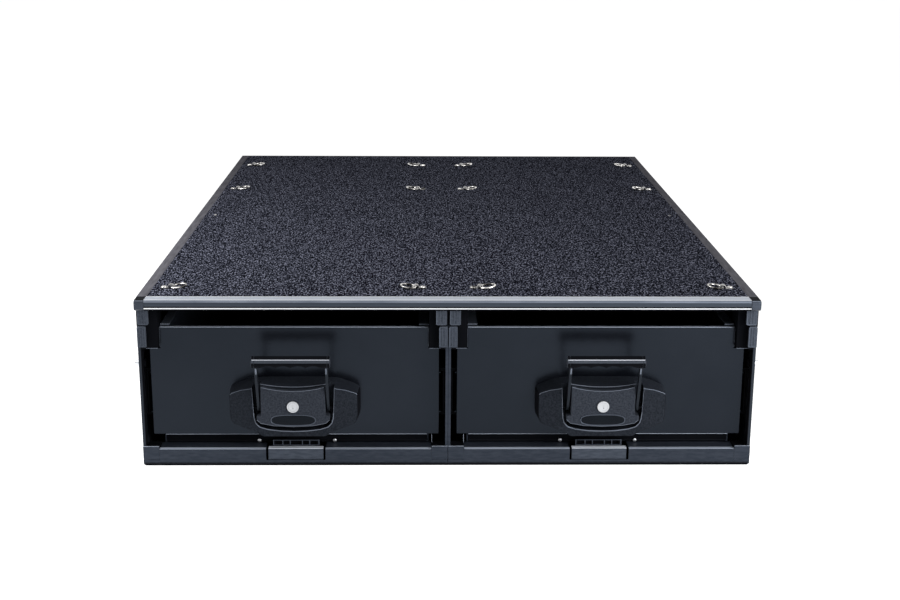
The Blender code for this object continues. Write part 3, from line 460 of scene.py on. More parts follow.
dark_insert = grained("grey_nosing_insert", (0.022, 0.026, 0.035), (0.034, 0.040, 0.051), 700,
                      (0.28, 0.40), 0.08, (0.05, 1, 1), gloss=0.34)
grey_trim = grained("grey_anodised_trim", (0.090, 0.088, 0.100), (0.150, 0.148, 0.166), 500,
                    (0.5, 0.62), 0.15, (1, 0.12, 1), gloss=0.0, wander=200)
steel = grained("pressed_steel", (0.04, 0.04, 0.04), (0.60, 0.59, 0.58), 260,
                (0.20, 0.40), 0.10, metallic=1.0, wander=120)
# Black steel of the slides and pins; also painted shade on the side panels' inner faces and on the tray's
# fold
black_steel_and_painted_shade = grained("black_slide_steel_and_painted_shade", (0.002, 0.002, 0.0025), (0.004, 0.004, 0.005), 300,
                     (0.5, 0.65), 0.06, (1, 0.1, 1), gloss=0.05)
# Plated steel whose slow dark and light patches are painted reflections of a dark and light surrounding
chrome_with_painted_reflections = grained("plated_steel_with_painted_reflections", (0.03, 0.028, 0.026), (0.93, 0.91, 0.88), 420,
                 (0.12, 0.26), 0.05, metallic=1.0, wander=65, spread=0.10)
lock_metal = grained("brushed_lock_face", (0.40, 0.41, 0.43), (0.54, 0.55, 0.57), 900,
                     (0.30, 0.42), 0.05, metallic=1.0)
satin_grip = grained("satin_grip", (0.026, 0.029, 0.036), (0.042, 0.047, 0.057), 1400,
                     (0.24, 0.34), 0.10, (0.2, 1, 1), gloss=0.4, wander=60)
# Painted highlight for the grip's upper edge
painted_grip_highlight = grained("painted_grip_line_highlight", (0.42, 0.44, 0.49), (0.58, 0.60, 0.66), 1400,
                     (0.2, 0.3), 0.05, (0.2, 1, 1), gloss=0.5)
arm_steel = grained("coated_arm_steel", (0.005, 0.006, 0.008), (0.010, 0.012, 0.015), 900,
                    (0.26, 0.38), 0.05, (1, 1, 0.2), gloss=0.20)
sealed_board = grained("sealed_board", (0.008, 0.008, 0.009), (0.016, 0.016, 0.018), 400,
                       (0.55, 0.7), 0.2, (1, 0.1, 14), gloss=0.2)

carpet_pile = new_finish("carpet_pile", (0.03, 0.03, 0.035), 0.95, 0, 0.0)
tufts = noise_on(carpet_pile, 430, 3, (1, 0.42, 1))
feed(carpet_pile, "Base Color", ramp_on(carpet_pile, tufts, [
    (0.37, (0.002, 0.002, 0.003)), (0.47, (0.011, 0.012, 0.018)), (0.55, (0.054, 0.058, 0.081)),
    (0.66, (0.24, 0.25, 0.32))]))
bump_on(carpet_pile, tufts, 0.8, 0.0012)

by_start = {"deck_board": sealed_board, "fixed_rail": black_steel_and_painted_shade, "middle_rail": black_steel_and_painted_shade,
            "base_pan": panel_coat}
for name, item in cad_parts.items():
    for start, finish in by_start.items():
        if name.startswith(start):
            item.data.materials.clear()
            item.data.materials.append(finish)


# Deck edge: the nosing with its insert and tread, the end caps and the trims

nosing_section = [(5, 270), (5, 268), (-13.7, 268), (-13.7, 258.2), (-16.5, 256.6), (-19.2, 256.5),
                  (-19.8, 256.7), (-20, 257.1), (-20, 257.9), (-19.7, 258.2), (-18.2, 258.3),
                  (-18.2, 268.8), (-17.6, 269.4), (-16.9, 270), (-14.4, 270), (-14.0, 269.6), (3.0, 269.6),
                  (3.4, 270)]
insert_section = [(-18.1, 258.4), (-18.6, 258.5), (-18.9, 259.3), (-19.4, 260.4), (-19.75, 261.6),
                  (-19.95, 262.9), (-20, 264.2), (-19.9, 265.5), (-19.6, 266.7), (-19.15, 267.8),
                  (-18.6, 268.7), (-17.9, 269.4), (-17.1, 269.95), (-17.6, 269.2), (-18.1, 268.9)]
lower_leg_section = [(-13.8, 258.1), (-16.3, 256.7), (-17.0, 254.8), (-16.4, 253.6), (5, 253.4), (5, 255.4),
                     (-13.8, 255.4)]
insert_painted_shadow_top = 260.0
insert_painted_highlight_bottom = 267.2
cap_painted_shade_slope = 0.85
cap_edge = ((457.2, -18.9, 269.1), (469.3, -18.9, 269.1))
panel_edge_inside = 467.7


def tread_section():
    """Section of the ribbed strip in the top of the nosing."""
    front, rear, base, low, high, pitch = -13.9, 2.9, 269.65, 269.75, 269.95, 1.7
    outline = [(rear, base), (rear, low)]
    count = int((rear - front) / pitch)
    for rib in range(count):
        start = rear - 0.3 - rib * pitch
        outline += [(start, low), (start - 0.2, high), (start - 0.8, high), (start - 1.0, low)]
    return outline + [(front, low), (front, base)]


nosing_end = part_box("front_nosing")[1].x / millimetre
# The nosing's lower leg is black painted shade under the nosing
for name, section, finish in (("nosing_body", nosing_section, bright_aluminium),
                              ("nosing_insert", insert_section, [dark_insert, shadow_coat, painted_soft_highlight]),
                              ("nosing_tread", tread_section(), tread_aluminium),
                              ("nosing_lower_leg", lower_leg_section, shadow_coat)):
    work = on_cabinet(run(section, "X", -nosing_end, nosing_end))
    if name == "nosing_insert":
        # Painted shadow on the insert's lowest faces, a dark line over the lip, and a painted highlight on
        # its top faces
        second_finish(work, lambda face: face.calc_center_median().z < insert_painted_shadow_top * millimetre)
        second_finish(work, lambda face: face.calc_center_median().z > insert_painted_highlight_bottom * millimetre
                      and abs(face.normal.x) < 0.5, 2)
    add_piece(name, work, finish, "cabinet", ["front_nosing"])

for side, middle in side_places.items():
    sense = math.copysign(1, middle)
    dress("deck_trim_" + side, 0.6, grey_trim, "cabinet")
    dress("centre_panel_" + side, 0.4, slate_coat, "cabinet")
    dress("strike_plate_" + side, 1.1, strike_coat, "cabinet")
    name = "side_panel_" + side
    panel = soften(node_copy(name), 0.5)
    # Painted shade: the panel's faces inward of its front edge, seen in the gap by the drawer, take the
    # second finish
    split_at(panel, sense * panel_edge_inside)
    second_finish(panel, lambda face: abs(face.calc_center_median().x) < panel_edge_inside * millimetre)
    add_piece(name + "_dressed", panel, [panel_coat, black_steel_and_painted_shade], "cabinet", [name])
    name = "nosing_cap_" + side
    # Painted shade: the cap's top faces take the second finish, black
    cap = second_finish(soften(node_copy(name), 1.8, 4), lambda face: face.normal.z > cap_painted_shade_slope)
    add_piece(name + "_dressed", cap, [cap_plastic, shadow_coat], "cabinet", [name])
    # A bead of painted highlight along the cap's front top edge
    edge = bead([(sense * across, along, up) for across, along, up in cap_edge], 0.6)
    add_piece(name + "_edge", on_cabinet(edge), painted_soft_highlight, "cabinet", [name])
dress("deck_trim_rear", 0.5, grey_trim, "cabinet")
dress("rear_panel", 0.5, panel_coat, "cabinet")


# Tie-downs: pressed straps, screws, rings and the strips under the deck

strap_side_view = [(-15.5, 0.3), (-15.5, 1.9), (-6.2, 1.9), (-5.2, 2.2), (-4.6, 3.0), (-4.2, 4.4),
                   (-3.2, 5.7), (-1.7, 6.45), (0, 6.62), (1.7, 6.45), (3.2, 5.7), (4.2, 4.4), (4.7, 3.0),
                   (5.2, 2.2), (6.6, 1.9), (6.6, 0.3), (3.1, 0.3), (3.0, 2.4), (2.6, 3.8), (1.5, 4.8),
                   (0, 5.1), (-1.5, 4.8), (-2.6, 3.8), (-3.0, 2.4), (-3.1, 0.3)]
head_profile = [(0, -12), (3, -12), (3, 0), (4.3, 0), (4.3, 0.6), (3.9, 1.2), (3.0, 1.7), (1.6, 2.0),
                (0, 2.1)]
strap_half_width = 4
deck_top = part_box("deck_trim_left")[1].z
# How far back each row is, where each hinge is across the deck, and to which side its ring points
rows = {"front": 53.5, "middle": 868.0, "rear": 1158.0}
hinges = [(-427.0, 1), (-49.5, -1), (49.5, 1), (427.0, -1)]
screw_reach = 10.5
screw_seat = 1.9
ring_radius = 11.8
ring_wire = 1.5
ring_tilt = math.radians(7.4)
deck_screw_across, deck_screw_back = 437, 604


def screw(head_scale=1.0, recess_depth=1.1):
    """A screw with a domed head and a crossed recess, its seat at the origin, upright."""
    work = turned([(radius * head_scale, height * head_scale) for radius, height in head_profile], 28)
    top = head_profile[-1][1] * head_scale
    arm, half = 2.3 * head_scale, 0.45 * head_scale
    cross = [(-arm, -half), (-half, -half), (-half, -arm), (half, -arm), (half, -half), (arm, -half),
             (arm, half), (half, half), (half, arm), (-half, arm), (-half, half), (-arm, half)]
    return cut_from(work, run(cross, "Z", top - recess_depth * head_scale, top + 2))


def strap(towards):
    """A strap pressed over a ring's hinge, at the origin."""
    work = run(mirrored(strap_side_view, towards), "Y", -strap_half_width, strap_half_width)
    return soften(work, 0.35, 2, 50)


def tie_ring(towards):
    """A ring that lies a little tilted, its hinge at the origin."""
    work = bmesh.new()
    turn = Matrix.Translation((ring_radius * millimetre, 0, 0)) @ Matrix.Rotation(math.pi / 2, 4, "X")
    start = bmesh.ops.create_circle(work, segments=14, radius=ring_wire * millimetre, matrix=turn)["verts"]
    spun(work, start + list(work.edges), 56)
    moved_by(work, (towards * ring_radius * millimetre, 0, 0))
    return turned_to(work, -towards * ring_tilt, "Y")


strap_screw = screw()
board_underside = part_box("deck_board")[0].z / millimetre
for row, setback in rows.items():
    node = "tie_down_strip_" + row
    straps, screws = [], []
    for across, towards in hinges:
        at = Vector((across * millimetre, front_y + setback * millimetre, deck_top))
        straps.append(moved_by(strap(towards), at))
        offset = Vector((-towards * screw_reach * millimetre, 0, screw_seat * millimetre))
        screws.append(moved_by(strap_screw.copy(), at + offset))
    low, high = (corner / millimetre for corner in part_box(node))
    bar = strip(low, (high.x, high.y, board_underside - 0.3), 0.5)
    for name, work, finish in (("straps", gathered(straps), steel), ("screws", gathered(screws), chrome_with_painted_reflections),
                               ("bar", bar, steel)):
        add_piece("tie_down_{}_{}".format(name, row), work, finish, "cabinet", [node])
    for count, (across, towards) in enumerate(hinges, 1):
        name = "tie_ring_{}_{}".format(row, count)
        low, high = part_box(name)
        middle = (low + high) / 2
        work = moved_by(tie_ring(towards), (across * millimetre, middle.y, middle.z))
        add_piece(name + "_dressed", work, chrome_with_painted_reflections, name, [name])
strap_screw.free()

screws = []
for sense in (-1, 1):
    at = (sense * deck_screw_across, deck_screw_back, deck_top / millimetre - 0.2)
    screws.append(moved_by(screw(0.62, 0.9), Vector(at) * millimetre))
add_piece("deck_screws", on_cabinet(gathered(screws)), chrome_with_painted_reflections, "cabinet")


# Sills with their corner blocks

sill_section = [(-3, 0), (-3, 25.9), (-2.7, 26.5), (-2.1, 26.8), (5, 26.8), (5, 24.8), (-1, 24.8), (-1, 2),
                (30, 2), (30, 0)]
corner_plates = {True: [(0, 0), (21.7, 0), (24.7, 3), (24.7, 31), (0, 31)],
                 False: [(0, 0), (24.7, 0), (24.7, 31), (0, 31)]}
sill_half = 211
sill_end = 210.5
window_half = 46


def sill_bar():
    """The sill between its corner blocks, with a window for the strike plate."""
    work = run(sill_section, "X", -sill_half, sill_half)
    window = block((-window_half, -8, 8.8), (window_half, 9, 40))
    return soften(cut_from(work, window), 0.25, 2, 60)


def corner_block(sense, outside):
    """A corner block: a plate over the panel's edge with a groove across it."""
    outline = [(sill_half + across, up) for across, up in corner_plates[outside]]
    plate = run(mirrored(outline, sense), "Y", -3.3, -0.3)
    groove = block((sill_half - 1, -4, 9.1), (sill_half + 26, -2.7, 9.9), sense)
    return soften(cut_from(plate, groove), 0.3, 2, 50)


for side, centre_sense in (("left", 1), ("right", -1)):
    name = "sill_" + side
    add_parts(side, name, "cabinet", [
        ("bar", sill_bar(), slate_coat),
        # The top edge is a strip of painted highlight
        ("top_edge", strip_pair((window_half + 0.2, -2.7, 26.2), (sill_end, 4.8, 26.9), 0.3), painted_edge_highlight),
        ("ledge", strip_pair((window_half + 0.4, 4.6, 25.2), (sill_end, 29.6, 26.5), 0.3), slate_coat)])
    corners = gathered([corner_block(sense, sense != centre_sense) for sense in (-1, 1)])
    add_parts(side, name, "cabinet", [
        ("corners", corners, slate_coat),
        # The corner tops are strips of painted highlight and the corner bodies black painted shade
        ("corner_tops", strip_pair((211.2, -3.1, 30.7), (235.5, -0.5, 31.1), 0.15), painted_edge_highlight),
        ("corner_bodies", strip_pair((211.4, -0.3, 0), (230.7, 30, 27.6), 0.6), shadow_coat)])
    # The strike plate's top is a strip of painted highlight
    top = strip((-42.6, -0.68, 26.2), (42.6, 9.4, 27.3), 0.3)
    add_piece("strike_plate_top_" + side, on_module(top, side), painted_bright_highlight, "cabinet")
# Painted shade: a black contact shadow along the sills' foot, and a black strip filling the seam between the
# modules
painted_shade_strips = gathered([strip((-468.4, -3.4, 0.1), (468.4, -2.4, 3.2), 0.1),
                 strip((-1.5, -0.28, 0.1), (1.5, 0.0, 28), 0.05)])
add_piece("sill_painted_contact_shadow", on_cabinet(painted_shade_strips), shadow_coat, "cabinet")
# A band of lighter painted shade above the contact shadow
painted_shade_strips = strip((-471.3, -3.36, 3.1), (471.3, -2.4, 5.2), 0.1)
add_piece("sill_painted_shade_band", on_cabinet(painted_shade_strips), moulded_and_painted_shade, "cabinet")


# Guide blocks

guide_upper = [(233.7, 229.0), (233.7, 253.1), (217.2, 253.1), (217.2, 229.0), (219.0, 227.6),
               (231.9, 227.6)]
guide_lower = [(235.1, 192.5), (235.1, 223.0), (233.6, 225.2), (223.5, 225.2), (222.0, 223.0),
               (222.0, 192.5)]
guide_plan = [(230.7, -0.3), (230.7, 45), (206.8, 45), (206.8, 8), (224.0, 8), (224.0, -0.3)]
guide_front = -5.6
border_width, border_depth = 1.7, 0.8
rib_offset, rib_half_width, rib_end_gap = 2.1, 0.5, 2.2


def guide_plate(outline, sense):
    """A front plate of a guide block, with a raised border and two upright ribs."""
    work = run(mirrored(outline, sense), "Y", guide_front, -0.3)
    front = front_faces(work, guide_front + 0.1)
    bmesh.ops.inset_region(work, faces=front, thickness=border_width * millimetre,
                           depth=-border_depth * millimetre)
    # The inset fronts keep the slate plastic; the borders, sides and ribs take the painted highlight
    second_finish(work, lambda face: face in front)
    soften(work, 0.25, 2, 40)
    places, heights = zip(*outline)
    low, high = min(heights) + rib_end_gap, max(heights) - rib_end_gap
    parts = [work]
    for offset in (-rib_offset, rib_offset):
        middle = (min(places) + max(places)) / 2 + offset
        near, far = middle - rib_half_width, middle + rib_half_width
        parts.append(strip((near, guide_front, low), (far, guide_front + 1, high), 0.25, sense))
    return gathered(parts)


def guide_body(sense):
    """The plain body behind the front plates, and a strip over the panel's edge that stands for the shade in
    the gap.
    """
    body = soften(run(mirrored(guide_plan, sense), "Z", 187.6, 252.8), 0.6, 2, 50)
    return gathered([body, strip((230, -2.2, 226), (235.6, -0.35, 252.9), 0.2, sense)])


for side in side_places:
    for hand, sense in (("a", -1), ("b", 1)):
        fronts = gathered([guide_plate(outline, sense) for outline in (guide_upper, guide_lower)])
        add_parts(side, "guide_block_{}_{}".format(side, hand), "cabinet", [
            # The body is black painted shade, the lip a strip of painted highlight
            ("fronts", fronts, [painted_slate_highlight, slate_plastic]),
            ("body", guide_body(sense), shadow_coat),
            ("lip", strip((207.2, 6.6, 186.9), (235.4, 8.4, 187.7), 0.2, sense), painted_soft_highlight)])


# Drawer faces and trays

recess_fold = [(28.0, 28.4), (26.0, 28.8), (25.0, 30.2), (25.8, 31.6), (28.0, 32.4)]
recess_screw_places = [Vector((across, 25.0, 30.6)) * millimetre for across in (-58.8, 58.8)]


def drawer_face(side):
    """A drawer face with its edges folded back round a small radius."""
    name = "drawer_face_" + side
    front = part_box(name)[0].y + merge_distance
    return soften(node_copy(name), 1.1, 3, 50, at_front(front / millimetre))


def face_edges():
    """Strips of painted highlight under the face and along its top."""
    return gathered([strip((-203.5, 19.9, 42.7), (203.5, 21.2, 43.4), 0.25),
                     strip((-205.4, 19.95, 216.7), (205.4, 25.8, 217.35), 0.15)])


def recess_ends(sense):
    """Strips of painted highlight: at the end of the recess on one side, and at the front ends of the tray's
    rims.
    """
    return gathered([strip((210.7, 20.2, 29.2), (211.3, 25.9, 42.4), 0.1, sense),
                     strip_pair((191.3, 26.6, 219.4), (205.5, 28.0, 220.4), 0.2)])


for side, middle in side_places.items():
    body = "drawer_" + side
    name = "drawer_face_" + side
    add_piece(name + "_dressed", drawer_face(side), satin_coat, body, [name])
    dress("drawer_tray_" + side, 0.4, slate_coat, body, 50)
    # The face's edges and sides, the tray's rims and the recess's ends are strips of painted highlight; the
    # recess's front is a black sheet of painted shade, and the tray's fold is painted shade too
    for name, work, finish in (
            ("face_edges", face_edges(), painted_edge_highlight),
            ("face_sides", strip_pair((205.75, 20.4, 185.5), (206.15, 25.8, 216.2), 0.1), painted_soft_highlight),
            ("tray_rims", strip_pair((191.3, 27, 219.95), (205.5, 420, 220.25), 0.1), painted_slate_highlight),
            ("recess_ends", recess_ends(-math.copysign(1, middle)), painted_edge_highlight),
            ("recess_front", strip((-203.8, 26.4, 28.6), (203.8, 28.1, 46), 0.3), shadow_coat),
            ("tray_fold", run(recess_fold, "X", -203, 203), black_steel_and_painted_shade)):
        add_piece("{}_{}".format(name, side), on_module(work, side), finish, body)
    screws = [moved_by(turned_to(screw(0.72), math.pi / 2, "X"), at) for at in recess_screw_places]
    add_piece("recess_screws_" + side, on_module(gathered(screws), side), lock_metal, body)


# Handle housings: shell, lock plate and bare badge

shell_front = -22
shell_rear = 19.7
shell_front_half = [(0, 134.8), (12.5, 135.1), (25, 136.0), (37.5, 137.5), (49.7, 139.6), (62.3, 133.2),
                    (65, 131.8), (80, 128.4), (93.9, 122.8), (96.6, 120.4), (97.6, 117), (97.6, 87),
                    (96.2, 79.5), (92.7, 74), (76, 68.4), (60, 63), (54.5, 59.5), (49.5, 55.6), (46.0, 54.6),
                    (0, 54.6)]
shell_rear_half = [(0, 138.2), (12.5, 138.2), (25, 138.1), (37.5, 138.0), (51.0, 137.7), (63.8, 136.9),
                   (68.0, 136.0), (82.5, 131.2), (95.5, 125.4), (99.2, 122.2), (100.5, 118), (100.5, 86),
                   (99.0, 77.6), (95.6, 71.8), (78, 66.6), (61.8, 61.4), (56.2, 58.0), (51.0, 55.2),
                   (47.5, 54.5), (0, 54.5)]
pocket_half = [(49.7, 137.0), (49.7, 160), (62.3, 160), (62.3, 132), (60.8, 93.5), (59.8, 84), (57.8, 76.8),
               (52.3, 70.6), (40.8, 66.8), (20.7, 64.1), (0, 63.3)]
pocket_top = [(37.5, 134.9), (25, 133.4), (12.5, 132.5), (0, 132.2)]
wing_start = 64.0
wing_sweep = 0.22
swept_in_front_of = -8
plate_half = [(0, 130.5), (12.5, 130.9), (25, 132.2), (37.5, 134.4), (47.6, 137.1), (48.9, 136.4),
              (48.9, 91.6), (54.6, 90.9), (55.8, 88.6), (55.2, 84.0), (49.4, 78.7), (30.2, 74.9), (0, 73.4)]
pocket_front, pocket_back = shell_front - 9, -5
plate_face, plate_back = -30, -4.5
badge_half_width, badge_half_height, badge_middle = 34.4, 9.2, 84.2
lock_profile = [(0, -24), (8, -24), (8, 0.2), (9.2, 0.3), (9.2, 1.7), (8.9, 2.3), (8.3, 2.5), (7.1, 2.5),
                (6.9, 2.1), (6.5, 2.1), (6.3, 2.4), (3.2, 2.4), (3.0, 2.2), (0, 2.2)]
lock_height = 106.02


def housing_shell():
    """The housing's shell, with a deep channel for the bail round its middle."""
    work = lofted(both_halves(shell_front_half), both_halves(shell_rear_half), shell_front, shell_rear)
    soften(work, 1.3, 3, 25, at_front(shell_front + 0.1))
    left = [(-across, up) for across, up in pocket_half if across > 0]
    outline = pocket_half[::-1] + pocket_top + mirrored(pocket_top[-2::-1], -1) + left
    work = cut_from(work, run(outline, "Y", pocket_front, pocket_back))
    soften(work, 0.5, 2, 60, at_front(shell_front + 0.2))
    for sense in (-1, 1):
        split_at(work, sense * wing_start)
    for vert in work.verts:
        if vert.co.y < swept_in_front_of * millimetre:
            vert.co.y += sweep_back(vert.co.x / millimetre) * millimetre
    work.normal_update()
    # Painted shade: the sides, the underside and the walls of the channel take the second finish, black
    return second_finish(work, lambda face: face.normal.z < 0.3 and abs(face.normal.y) < 0.9)


def sweep_back(across):
    """How far the housing's front is swept back at a place on a wing."""
    return wing_sweep * max(0, abs(across) - wing_start)


def lock_plate():
    """The lock plate that stands in front of the channel."""
    work = run(both_halves(plate_half), "Y", plate_face, plate_back)
    return soften(work, 1.0, 3, 25, at_front(plate_face + 0.1))


def housing_edges():
    """Beads of painted highlight along the housing's edges: the rims of the shell and of the lock plate, and
    the tops of the wings.
    """
    rim = [(across, shell_front + 0.5, up - 0.4) for across, up in shell_front_half[:5]]
    top = [(across, plate_face + 0.5, up - 0.5) for across, up in plate_half[:5]]
    beads = []
    for line in (rim, top):
        whole = [(-across, along, up) for across, along, up in line[:0:-1]] + line
        beads.append(bead(whole, 0.55))
    for sense in (-1, 1):
        wing = [(sense * across, shell_front + 0.5 + sweep_back(across), up - 0.4)
                for across, up in shell_front_half[5:10]]
        inner = [(sense * (across + 0.3), shell_front + 0.3, up) for across, up in pocket_half[3:5]]
        beads += [bead(wing, 0.45), bead(inner, 0.45)]
    return gathered(beads)


def housing_lip():
    """Beads of painted highlight along the lower lip of the channel and the lower edge of the lock plate."""
    lip = [(across + 0.2, shell_front + 0.3, up - 0.3) for across, up in pocket_half[4:]]
    low = [(across - 0.3, plate_face + 0.4, up + 0.4) for across, up in plate_half[9:]]
    beads = []
    for line, radius in ((lip, 0.8), (low, 0.5)):
        line[-1] = (0, *line[-1][1:])
        beads.append(bead([(-across, along, up) for across, along, up in line] + line[-2::-1], radius))
    return gathered(beads)


def badge_outline():
    """Outline of the badge: an oval with flattened sides."""
    outline = []
    steps = 56
    for step in range(steps):
        angle = math.tau * step / steps
        across = math.copysign(abs(math.cos(angle)) ** 0.62, math.cos(angle))
        up = math.copysign(abs(math.sin(angle)) ** 0.78, math.sin(angle))
        outline.append((badge_half_width * across, badge_middle + badge_half_height * up))
    return outline


def bare_badge():
    """A bare badge with a raised rim."""
    work = run(badge_outline(), "Y", plate_face - 1.1, plate_face + 0.4)
    front = front_faces(work, plate_face - 1)
    bmesh.ops.inset_region(work, faces=front, thickness=1.0 * millimetre)
    bmesh.ops.inset_region(work, faces=front, thickness=0.5 * millimetre, depth=-0.6 * millimetre)
    # The rim and sides take a painted highlight; the inset floor takes the second finish
    second_finish(work, lambda face: face in front)
    return soften(work, 0.25, 2, 50)


def lock_barrel():
    """The lock's barrel with a ringed face and a keyhole, and the cam at its rear."""
    slot = rounded([(-0.8, -2.9), (0.8, -2.9), (0.8, 2.9), (-0.8, 2.9)], 0.7, 3)
    barrel = cut_from(turned(lock_profile, 48, "Y"), run(slot, "Y", -4, -0.8))
    cam = rounded([(-4, -16), (4, -16), (4, 4), (-4, 4)], 2.5, 4)
    cam = soften(run(cam, "Y", 22.5, 25.5), 0.3, 2, 50)
    return moved_by(gathered([barrel, cam]), (0, plate_face * millimetre, lock_height * millimetre))


for side in side_places:
    add_parts(side, "handle_housing_" + side, "drawer_" + side, [
        ("shell", housing_shell(), [moulded_and_painted_shade, shadow_coat]),
        ("plate", lock_plate(), plate_plastic),
        ("badge", bare_badge(), [painted_slate_highlight, gloss_plastic]),
        ("edges", housing_edges(), painted_soft_highlight),
        ("lip", housing_lip(), painted_soft_highlight)])
    name = "lock_barrel_" + side
    add_parts(side, name, name, [("dressed", lock_barrel(), lock_metal)])


# Bails and latches

pivot = Vector((0, -16.5 * millimetre, 99.98 * millimetre))
grip_ahead, grip_above = 32.5, 81.0
lean = math.atan2(grip_ahead, grip_above)
arm_length = math.hypot(grip_ahead, grip_above)
grip_radius = 6.8
groove_pitch = 22.5
groove_count = 4
grooves_half = groove_pitch * groove_count / 2
groove_depth = 2.6
# Which way the grooves are cut, which way the raised back faces, and how far it is raised
groove_back, groove_up = 0.44, 0.9
crest_back, crest_up = 0.60, 0.80
rise_back, rise_up = 4.2 * 0.66, 4.2 * 0.75
# Places along the grip and the radius at each, from the end inwards
collar_stations = [(58.9, 5.6), (58.7, 6.3), (58.2, 6.8), (55.0, 6.8), (54.7, 6.2), (54.1, 6.2), (53.8, 6.7)]
eye_radius = 5.5
pin_profile = [(0, 50), (2.5, 50), (2.5, 55), (3.3, 55), (3.3, 56.0), (2.9, 56.4), (2.5, 56.5), (2.5, 64.3),
               (0, 64.3)]


def grip_stations():
    """Places along the grip and its radius at each: collars at the ends and finger grooves between them."""
    count = groove_count * 10
    middle = [(-grooves_half + 2 * grooves_half * step / count, grip_radius) for step in range(count + 1)]
    return mirrored(collar_stations, -1) + middle + collar_stations[::-1]


def grip():
    """The grip, upright over the pivot, with its back raised."""
    work = bmesh.new()
    loops = []
    for across, radius in grip_stations():
        reach = radius * millimetre
        turn = Matrix.Translation((across * millimetre, 0, 0)) @ Matrix.Rotation(math.pi / 2, 4, "Y")
        before = set(work.edges)
        circle = bmesh.ops.create_circle(work, segments=28, radius=reach, matrix=turn)["verts"]
        if abs(across) < grooves_half:
            lift = groove_depth * abs(math.sin(math.pi * (across + grooves_half) / groove_pitch)) * millimetre
            for vert in circle:
                under = max(0, -(vert.co.z * groove_up + vert.co.y * groove_back) / reach)
                vert.co.z += lift * groove_up * under
                vert.co.y += lift * groove_back * under
        for vert in circle:
            over = max(0, (vert.co.z * crest_up + vert.co.y * crest_back) / reach) ** 3
            vert.co.z += rise_up * over * millimetre
            vert.co.y += rise_back * over * millimetre
        loops.append([edge for edge in work.edges if edge not in before])
    for near, far in zip(loops, loops[1:]):
        bmesh.ops.bridge_loops(work, edges=near + far)
    bmesh.ops.contextual_create(work, geom=loops[0])
    bmesh.ops.contextual_create(work, geom=loops[-1])
    bmesh.ops.recalc_face_normals(work, faces=work.faces)
    # Painted shade: the grip's back and underside take the second finish, black; only the ends and a band
    # along the upper front aren't black
    second_finish(work, lambda face: abs(face.normal.x) < 0.5 and (
        face.calc_center_median().y > -0.9 * millimetre or face.normal.z < 0.15 - 0.5 * face.normal.y))
    return moved_by(work, (0, 0, arm_length * millimetre))


def grip_line():
    """A bead of painted highlight along the grip's upper edge."""
    height = arm_length + 7.2
    return bead([(-57.6, -1.2, height), (57.6, -1.2, height)], 0.75)


def bail_arm(sense):
    """One arm of the bail: a flat bar with a round eye at its lower end, and its pivot pin."""
    outline = [(3.8, arm_length), (-3.8, arm_length)]
    steps = 16
    for step in range(steps + 1):
        angle = math.pi + math.pi * step / steps
        outline.append((eye_radius * math.cos(angle), eye_radius * math.sin(angle)))
    near, far = sorted((sense * 50.9, sense * 55.1))
    bar = soften(run(outline, "X", near, far), 0.6, 2, 40)
    return bar, turned_outwards(pin_profile, 24, sense)


for side in side_places:
    name = "handle_bail_" + side
    bars, pins = zip(bail_arm(-1), bail_arm(1))
    # The grip line and the arm fronts are painted highlights
    parts = (("grip", grip(), [satin_grip, shadow_coat]),
             ("arms", gathered(bars), arm_steel),
             ("grip_line", grip_line(), painted_grip_highlight),
             ("pins", gathered(pins), black_steel_and_painted_shade),
             ("arm_fronts", strip_pair((51.2, -4.15, 7), (53.6, -3.3, arm_length - 7), 0.3), painted_soft_highlight))
    for part in parts:
        moved_by(turned_to(part[1], lean, "X"), pivot)
    add_parts(side, name, name, parts)
    name = "latch_bolt_" + side
    # The latch bolt, deep in the recess under the face, is black painted shade; its ladder's bars are painted
    # highlight
    dress(name, 0.25, shadow_coat, name, 50)
    ladder = [strip((-36.4, 10.2, low), (36.4, 11.0, low + 0.9), 0.25) for low in (28.1, 36.0)]
    ladder += [strip_pair((across - 0.6, 10.1, 28.4), (across + 0.6, 11.0, 36.6), 0.25)
               for across in (9.464, 20.93, 35.308)]
    add_parts(side, name, name, [("ladder", gathered(ladder), painted_slate_highlight)])


# Side bolts

bolt_profile = [(0, -5.8), (6.3, -5.8), (6.3, -2.4), (4, -2.2), (4, 0.3), (6.5, 0.3), (6.5, 5.2), (6.1, 5.9),
                (5.4, 6.3), (4, 6.3), (4, 10.4), (3.6, 11.1), (2.8, 11.5), (0, 11.5)]
bolt_place = Vector((472, 26, 158)) * millimetre
bolt_inside = 470
for side, sense in (("left", -1), ("right", 1)):
    name = "side_bolt_" + side
    work = turned_outwards(bolt_profile, 32, sense)
    moved_by(work, (sense * bolt_place.x, bolt_place.y, bolt_place.z))
    # Painted shade: the bolt's part inside the panel, seen through the gap, takes the second finish, black
    second_finish(work, lambda face: abs(face.calc_center_median().x) < bolt_inside * millimetre)
    add_piece(name + "_dressed", on_cabinet(work), [bright_aluminium, shadow_coat], "cabinet",
              [name])


# Carpet

# In metres, and the two wave counts per metre
pile_overlap = 0.0026
pile_rise = 0.0003
pile_cell = 0.005
pile_unevenness, pile_waves = 0.00015, 160
rim_unevenness, rim_waves = 0.0008, 230
rim_rise = 0.00005


